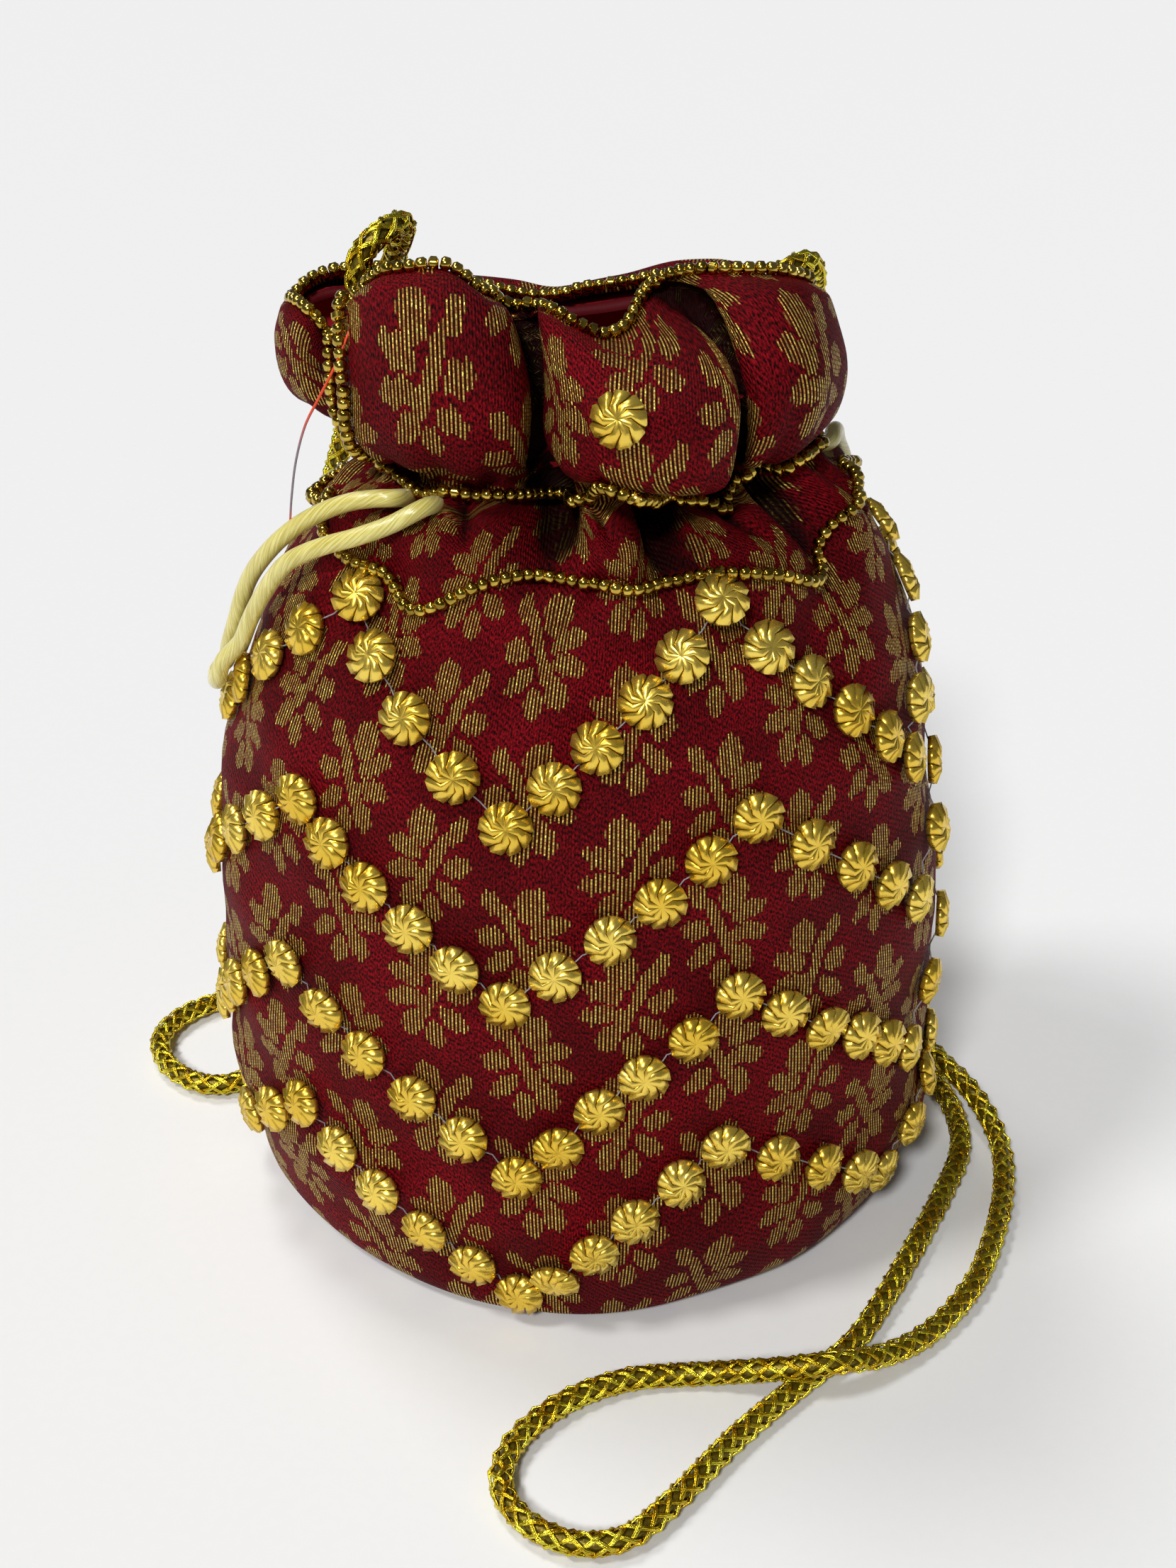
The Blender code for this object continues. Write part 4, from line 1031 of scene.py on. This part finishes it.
# Cords.
HANDLE = [
    (-37, 3.5, 183), (-39.2, -0.3, 195.5), (-38, -0.9, 201.6), (-34.1, 2.2, 204.8),
    (-31.5, 9.3, 203.6), (-33.8, 18.9, 196.1), (-38.1, 28.1, 183.7), (-42.6, 33.8, 169.8),
    (-47.5, 37.1, 153.2), (-52.6, 40.5, 136.3), (-57, 42.9, 119.8), (-60.4, 44.2, 102.3),
    (-62.9, 45.3, 84.1), (-64.9, 46.8, 65.9), (-66.7, 48.7, 47.7), (-69.1, 51.3, 30.1),
    (-72.6, 54, 14.1), (-77, 54.8, 5.4), (-85.4, 51.4, 2.5), (-94.8, 44.2, 2.6),
    (-99.1, 34.7, 2.6), (-96, 24.9, 2.6), (-88.2, 17.9, 2.6), (-79.8, 17.4, 2.6),
    (-71.2, 24.9, 2.6), (-61, 38.7, 2.6), (-49.4, 49.6, 2.6), (-35.6, 57.8, 2.6),
    (-20.4, 62.5, 2.6), (-3.6, 64.4, 2.6), (13.1, 63.9, 2.6), (29.5, 60.4, 2.6),
    (44.6, 54.4, 2.6), (57.9, 45.5, 2.6), (70.6, 33.4, 2.6), (80.2, 21.2, 2.6), (84.5, 8, 2.6),
    (84.1, -6.1, 2.6), (78.2, -21, 2.6), (70, -37.7, 2.6), (61.7, -53.5, 2.6), (53.6, -66.4, 2.6),
    (41.2, -78.7, 2.6), (29.8, -90.4, 2.6), (18.2, -104.8, 2.6), (9.2, -113.8, 2.6),
    (-0.4, -115.3, 2.6), (-9.4, -110.3, 2.6), (-14, -101.6, 2.6), (-11.3, -90.9, 2.6),
    (-2.1, -81.3, 2.6), (9.9, -75.6, 2.6), (24, -74.3, 2.8), (37.8, -76.9, 6.5), (48.3, -76.7, 8),
    (59.7, -71, 4.5), (70.4, -62.3, 2.5), (80.2, -49.8, 2.6), (87, -34.7, 2.6),
    (91.7, -18.6, 2.6), (92.9, -4.2, 3.2), (89, 7.8, 6.5), (81.4, 20.6, 8.6), (73.4, 34.3, 9.5),
    (66.9, 44.1, 14.1), (62.1, 49.9, 23.7), (58.1, 52.5, 39), (55.3, 53.3, 56.3),
    (53.1, 53, 74.4), (50.9, 51.9, 92.3), (49.1, 49.4, 109.8), (47.4, 45.9, 127.7),
    (45.6, 41.7, 144.1), (44.2, 35.1, 160.5), (44.2, 29.1, 176.1), (44.8, 23.2, 186.1),
    (43.5, 12.9, 194.8), (40.2, 7, 197), (36.1, 2.9, 194.8), (34, 2.5, 183)]
SATIN_LEFT = [
    (-32.2, -21.8, 163.4), (-36.7, -21.5, 163.1), (-41.1, -20.6, 162), (-45.8, -19.2, 159.7),
    (-50.3, -17.6, 156.6), (-54.4, -16, 152.8), (-57.9, -14.1, 148.5), (-60.8, -11.8, 143.9),
    (-63, -9.9, 138.9), (-65.1, -7.9, 132.6), (-67, -5.9, 127), (-67.8, -4.4, 124),
    (-68.5, -3.2, 121.7), (-70.1, -3.8, 120.2), (-70.3, -5.9, 119.1), (-69.6, -8.1, 119.8),
    (-69, -9.8, 121.8), (-67.5, -11.2, 125.8), (-63.7, -12.9, 130.5), (-61.2, -14.9, 136.2),
    (-58.4, -17.2, 141.8), (-55.4, -19.3, 146.8), (-52.6, -21.1, 150.5), (-48.8, -23.1, 153.4),
    (-44.1, -25, 155.9), (-39, -26.3, 157.9), (-32.8, -26.6, 160.4), (-26.8, -25, 163)]
SATIN_RIGHT = [
    (46.9, 2, 164.8), (48.5, 7, 165), (49.3, 10.9, 163.6), (50.2, 14.8, 160.1), (51.8, 18, 155.8),
    (53.5, 20, 149.1), (54.3, 22, 145.4), (54.5, 24.1, 142.9), (53.4, 26.7, 141.7),
    (51.6, 28.6, 142.8), (50.1, 28.6, 146), (48.3, 27.2, 151), (46.3, 23.7, 156.4), (44, 18, 162)]


def smooth_line(points, step):
    """A smooth line through the given points, resampled at an even step."""
    pts = np.array(points, dtype=float)
    n = len(pts)
    fine = []
    for i in range(n - 1):
        quad = pts[np.clip(np.arange(i - 1, i + 3), 0, n - 1)]
        fine.append(weights(np.linspace(0.0, 1.0, 24, endpoint=False)) @ quad)
    fine = np.concatenate(fine + [pts[-1:]])
    run = np.concatenate([[0.0], np.cumsum(np.linalg.norm(np.diff(fine, axis=0), axis=1))])
    want = np.linspace(0.0, run[-1], int(run[-1] / step) + 1)
    return np.stack([np.interp(want, run, fine[:, k]) for k in range(3)], axis=1), want


def line_frames(points):
    """Two axes across a line that don't spin along it."""
    ahead = np.gradient(points, axis=0)
    ahead /= np.linalg.norm(ahead, axis=1, keepdims=True)
    first = np.cross(ahead[0], (0.0, 0.0, 1.0))
    if np.linalg.norm(first) < 0.1:
        first = np.cross(ahead[0], (0.0, 1.0, 0.0))
    axes = [first / np.linalg.norm(first)]
    for k in range(1, len(points)):
        turned = axes[-1] - ahead[k] * np.dot(axes[-1], ahead[k])
        axes.append(turned / np.linalg.norm(turned))
    side = np.array(axes)
    return side, np.cross(ahead, side)


def tube_mesh(name, points, run, radius, sides):
    """A tube from a flat grid rolled round a line; UV is length in mm and share of a turn."""
    side, lift = line_frames(points)
    rows = len(points)
    bm = bmesh.new()
    layer = bm.loops.layers.uv.new("cloth")
    bmesh.ops.create_grid(bm, x_segments=sides, y_segments=rows - 1, size=0.5, calc_uvs=True)
    for face in bm.faces:
        for loop in face.loops:
            uv = loop[layer].uv
            share = uv.x
            uv.x = run[int(round(uv.y * (rows - 1)))]
            uv.y = share
    for vert in bm.verts:
        a = 2.0 * math.pi * (vert.co.x + 0.5)
        k = int(round((vert.co.y + 0.5) * (rows - 1)))
        p = points[k] + (side[k] * math.cos(a) + lift[k] * math.sin(a)) * radius
        vert.co = Vector(p) * MM
    bmesh.ops.remove_doubles(bm, verts=bm.verts, dist=1e-7)
    bmesh.ops.holes_fill(bm, edges=[e for e in bm.edges if e.is_boundary], sides=0)
    bmesh.ops.recalc_face_normals(bm, faces=bm.faces)
    return to_mesh(bm, name)


SATIN = satin_material()
for name, route, channel in (
        ("drawstring_left", SATIN_LEFT, ((-29.0, -12.0, 159.6), (-23.6, -16.0, 160.1))),
        ("drawstring_right", SATIN_RIGHT, ((40.5, -1.0, 165.0), (39.5, 13.0, 164.0)))):
    route = [channel[0]] + route + [channel[1]]
    points, run = smooth_line(route, 0.8)
    loop = link("satin_" + name, tube_mesh("satin_" + name, points, run, 0.5 * SATIN_D, 20), SATIN,
                [name])


YARN_R = 0.24


def braid_lines(points, run):
    """Fine metallic filaments of a round braid: four strands each way, three filaments a strand."""
    side, lift = line_frames(points)
    strands = 4
    turn = 16.0               # length of one round of a strand, millimetres
    lines = []
    wobble = np.random.default_rng(3)
    for way in (1.0, -1.0):
        for strand in range(strands):
            for filament in (-1.0, 0.0, 1.0):
                spread = filament * 0.30 + wobble.normal(0.0, 0.03, len(run)).cumsum() * 0.02
                a = way * 2.0 * math.pi * run / turn + 2.0 * math.pi * strand / strands
                a = a + (spread / 2.0)
                reach = 2.1 + way * 0.30 * np.cos(2.0 * math.pi * run * strands / turn)
                reach = reach - 0.10 * abs(filament) + wobble.normal(0.0, 0.03, len(run))
                line = points + side * (np.cos(a) * reach)[:, None]
                line = line + lift * (np.sin(a) * reach)[:, None]
                line[:, 2] = np.maximum(line[:, 2], YARN_R + 0.03)
                lines.append(line)
    return lines


points, run = smooth_line(HANDLE, 1.35)
yarn = curve_mesh("handle_yarn", braid_lines(points, run), YARN_R)
handle = link("handle_yarn", yarn, handle_material(), ["handle_cord"])
core_points, core_run = smooth_line(HANDLE, 2.6)
core = link("handle_core", tube_mesh("handle_core", core_points, core_run, 1.45, 8),
            core_material())


def seen_at(px, py, y):
    """Point in millimetres that the photograph shows at a pixel, at a given distance back."""
    r = (py - 1106.0) / 3118.0
    f = 0.5 + 0.866 * r
    d = 388.0 + y
    z = (316.0 - f * (0.866 * d + 158.0)) / (1.0 - 0.5 * f)
    return (2.0 + (px - 829.5) * (0.866 * d + 0.5 * (316.0 - z)) / 3118.0, y, z)


STRAY = [seen_at(513, 424, -10), seen_at(497, 455, -15), seen_at(475, 510, -18),
         seen_at(450, 560, -18.5), seen_at(430, 600, -18), seen_at(417, 650, -17),
         seen_at(411, 700, -16.5), seen_at(409, 735, -17), seen_at(408, 759, -17.5)]
points, run = smooth_line(STRAY, 1.5)
stray = link("stray_thread", curve_mesh("stray_thread", [points], STRAY_R), stray_material())

# Floor and light.
bm = bmesh.new()
bmesh.ops.create_grid(bm, x_segments=1, y_segments=1, size=6.0)
bmesh.ops.translate(bm, vec=(0.0, 3.0, -0.0003), verts=bm.verts)
floor = bpy.data.objects.new("floor", to_mesh(bm, "floor", smooth=False))
scene.collection.objects.link(floor)
paint = Nodes("pale floor")
grain = paint.noise(paint.here(), 400.0)
paint.set(colour=paint.mix(grain, (0.84, 0.84, 0.84), (0.86, 0.86, 0.86)), roughness=0.9,
          specular=0.1)
floor.data.materials.append(paint.material)

world = bpy.data.worlds.new("studio")
scene.world = world
world.use_nodes = True
world.node_tree.nodes["Background"].inputs["Color"].default_value = (0.9, 0.9, 0.92, 1.0)
world.node_tree.nodes["Background"].inputs["Strength"].default_value = 0.11


def sun(name, elevation, azimuth, strength, soft):
    """A soft sun. Azimuth 0 shines from the camera's side, 90 from the right."""
    lamp = bpy.data.objects.new(name, bpy.data.lights.new(name, "SUN"))
    lamp.data.energy = strength
    lamp.data.angle = math.radians(soft)
    e, a = math.radians(elevation), math.radians(azimuth)
    way = Vector((math.sin(a) * math.cos(e), -math.cos(a) * math.cos(e), math.sin(e)))
    lamp.rotation_euler = way.to_track_quat("Z", "Y").to_euler()
    scene.collection.objects.link(lamp)


sun("key", 58.0, -70.0, 1.1, 12.0)
sun("window", 62.0, -140.0, 0.9, 16.0)
sun("front", 42.0, -17.0, 1.8, 9.0)

scene.view_settings.view_transform = "Standard"
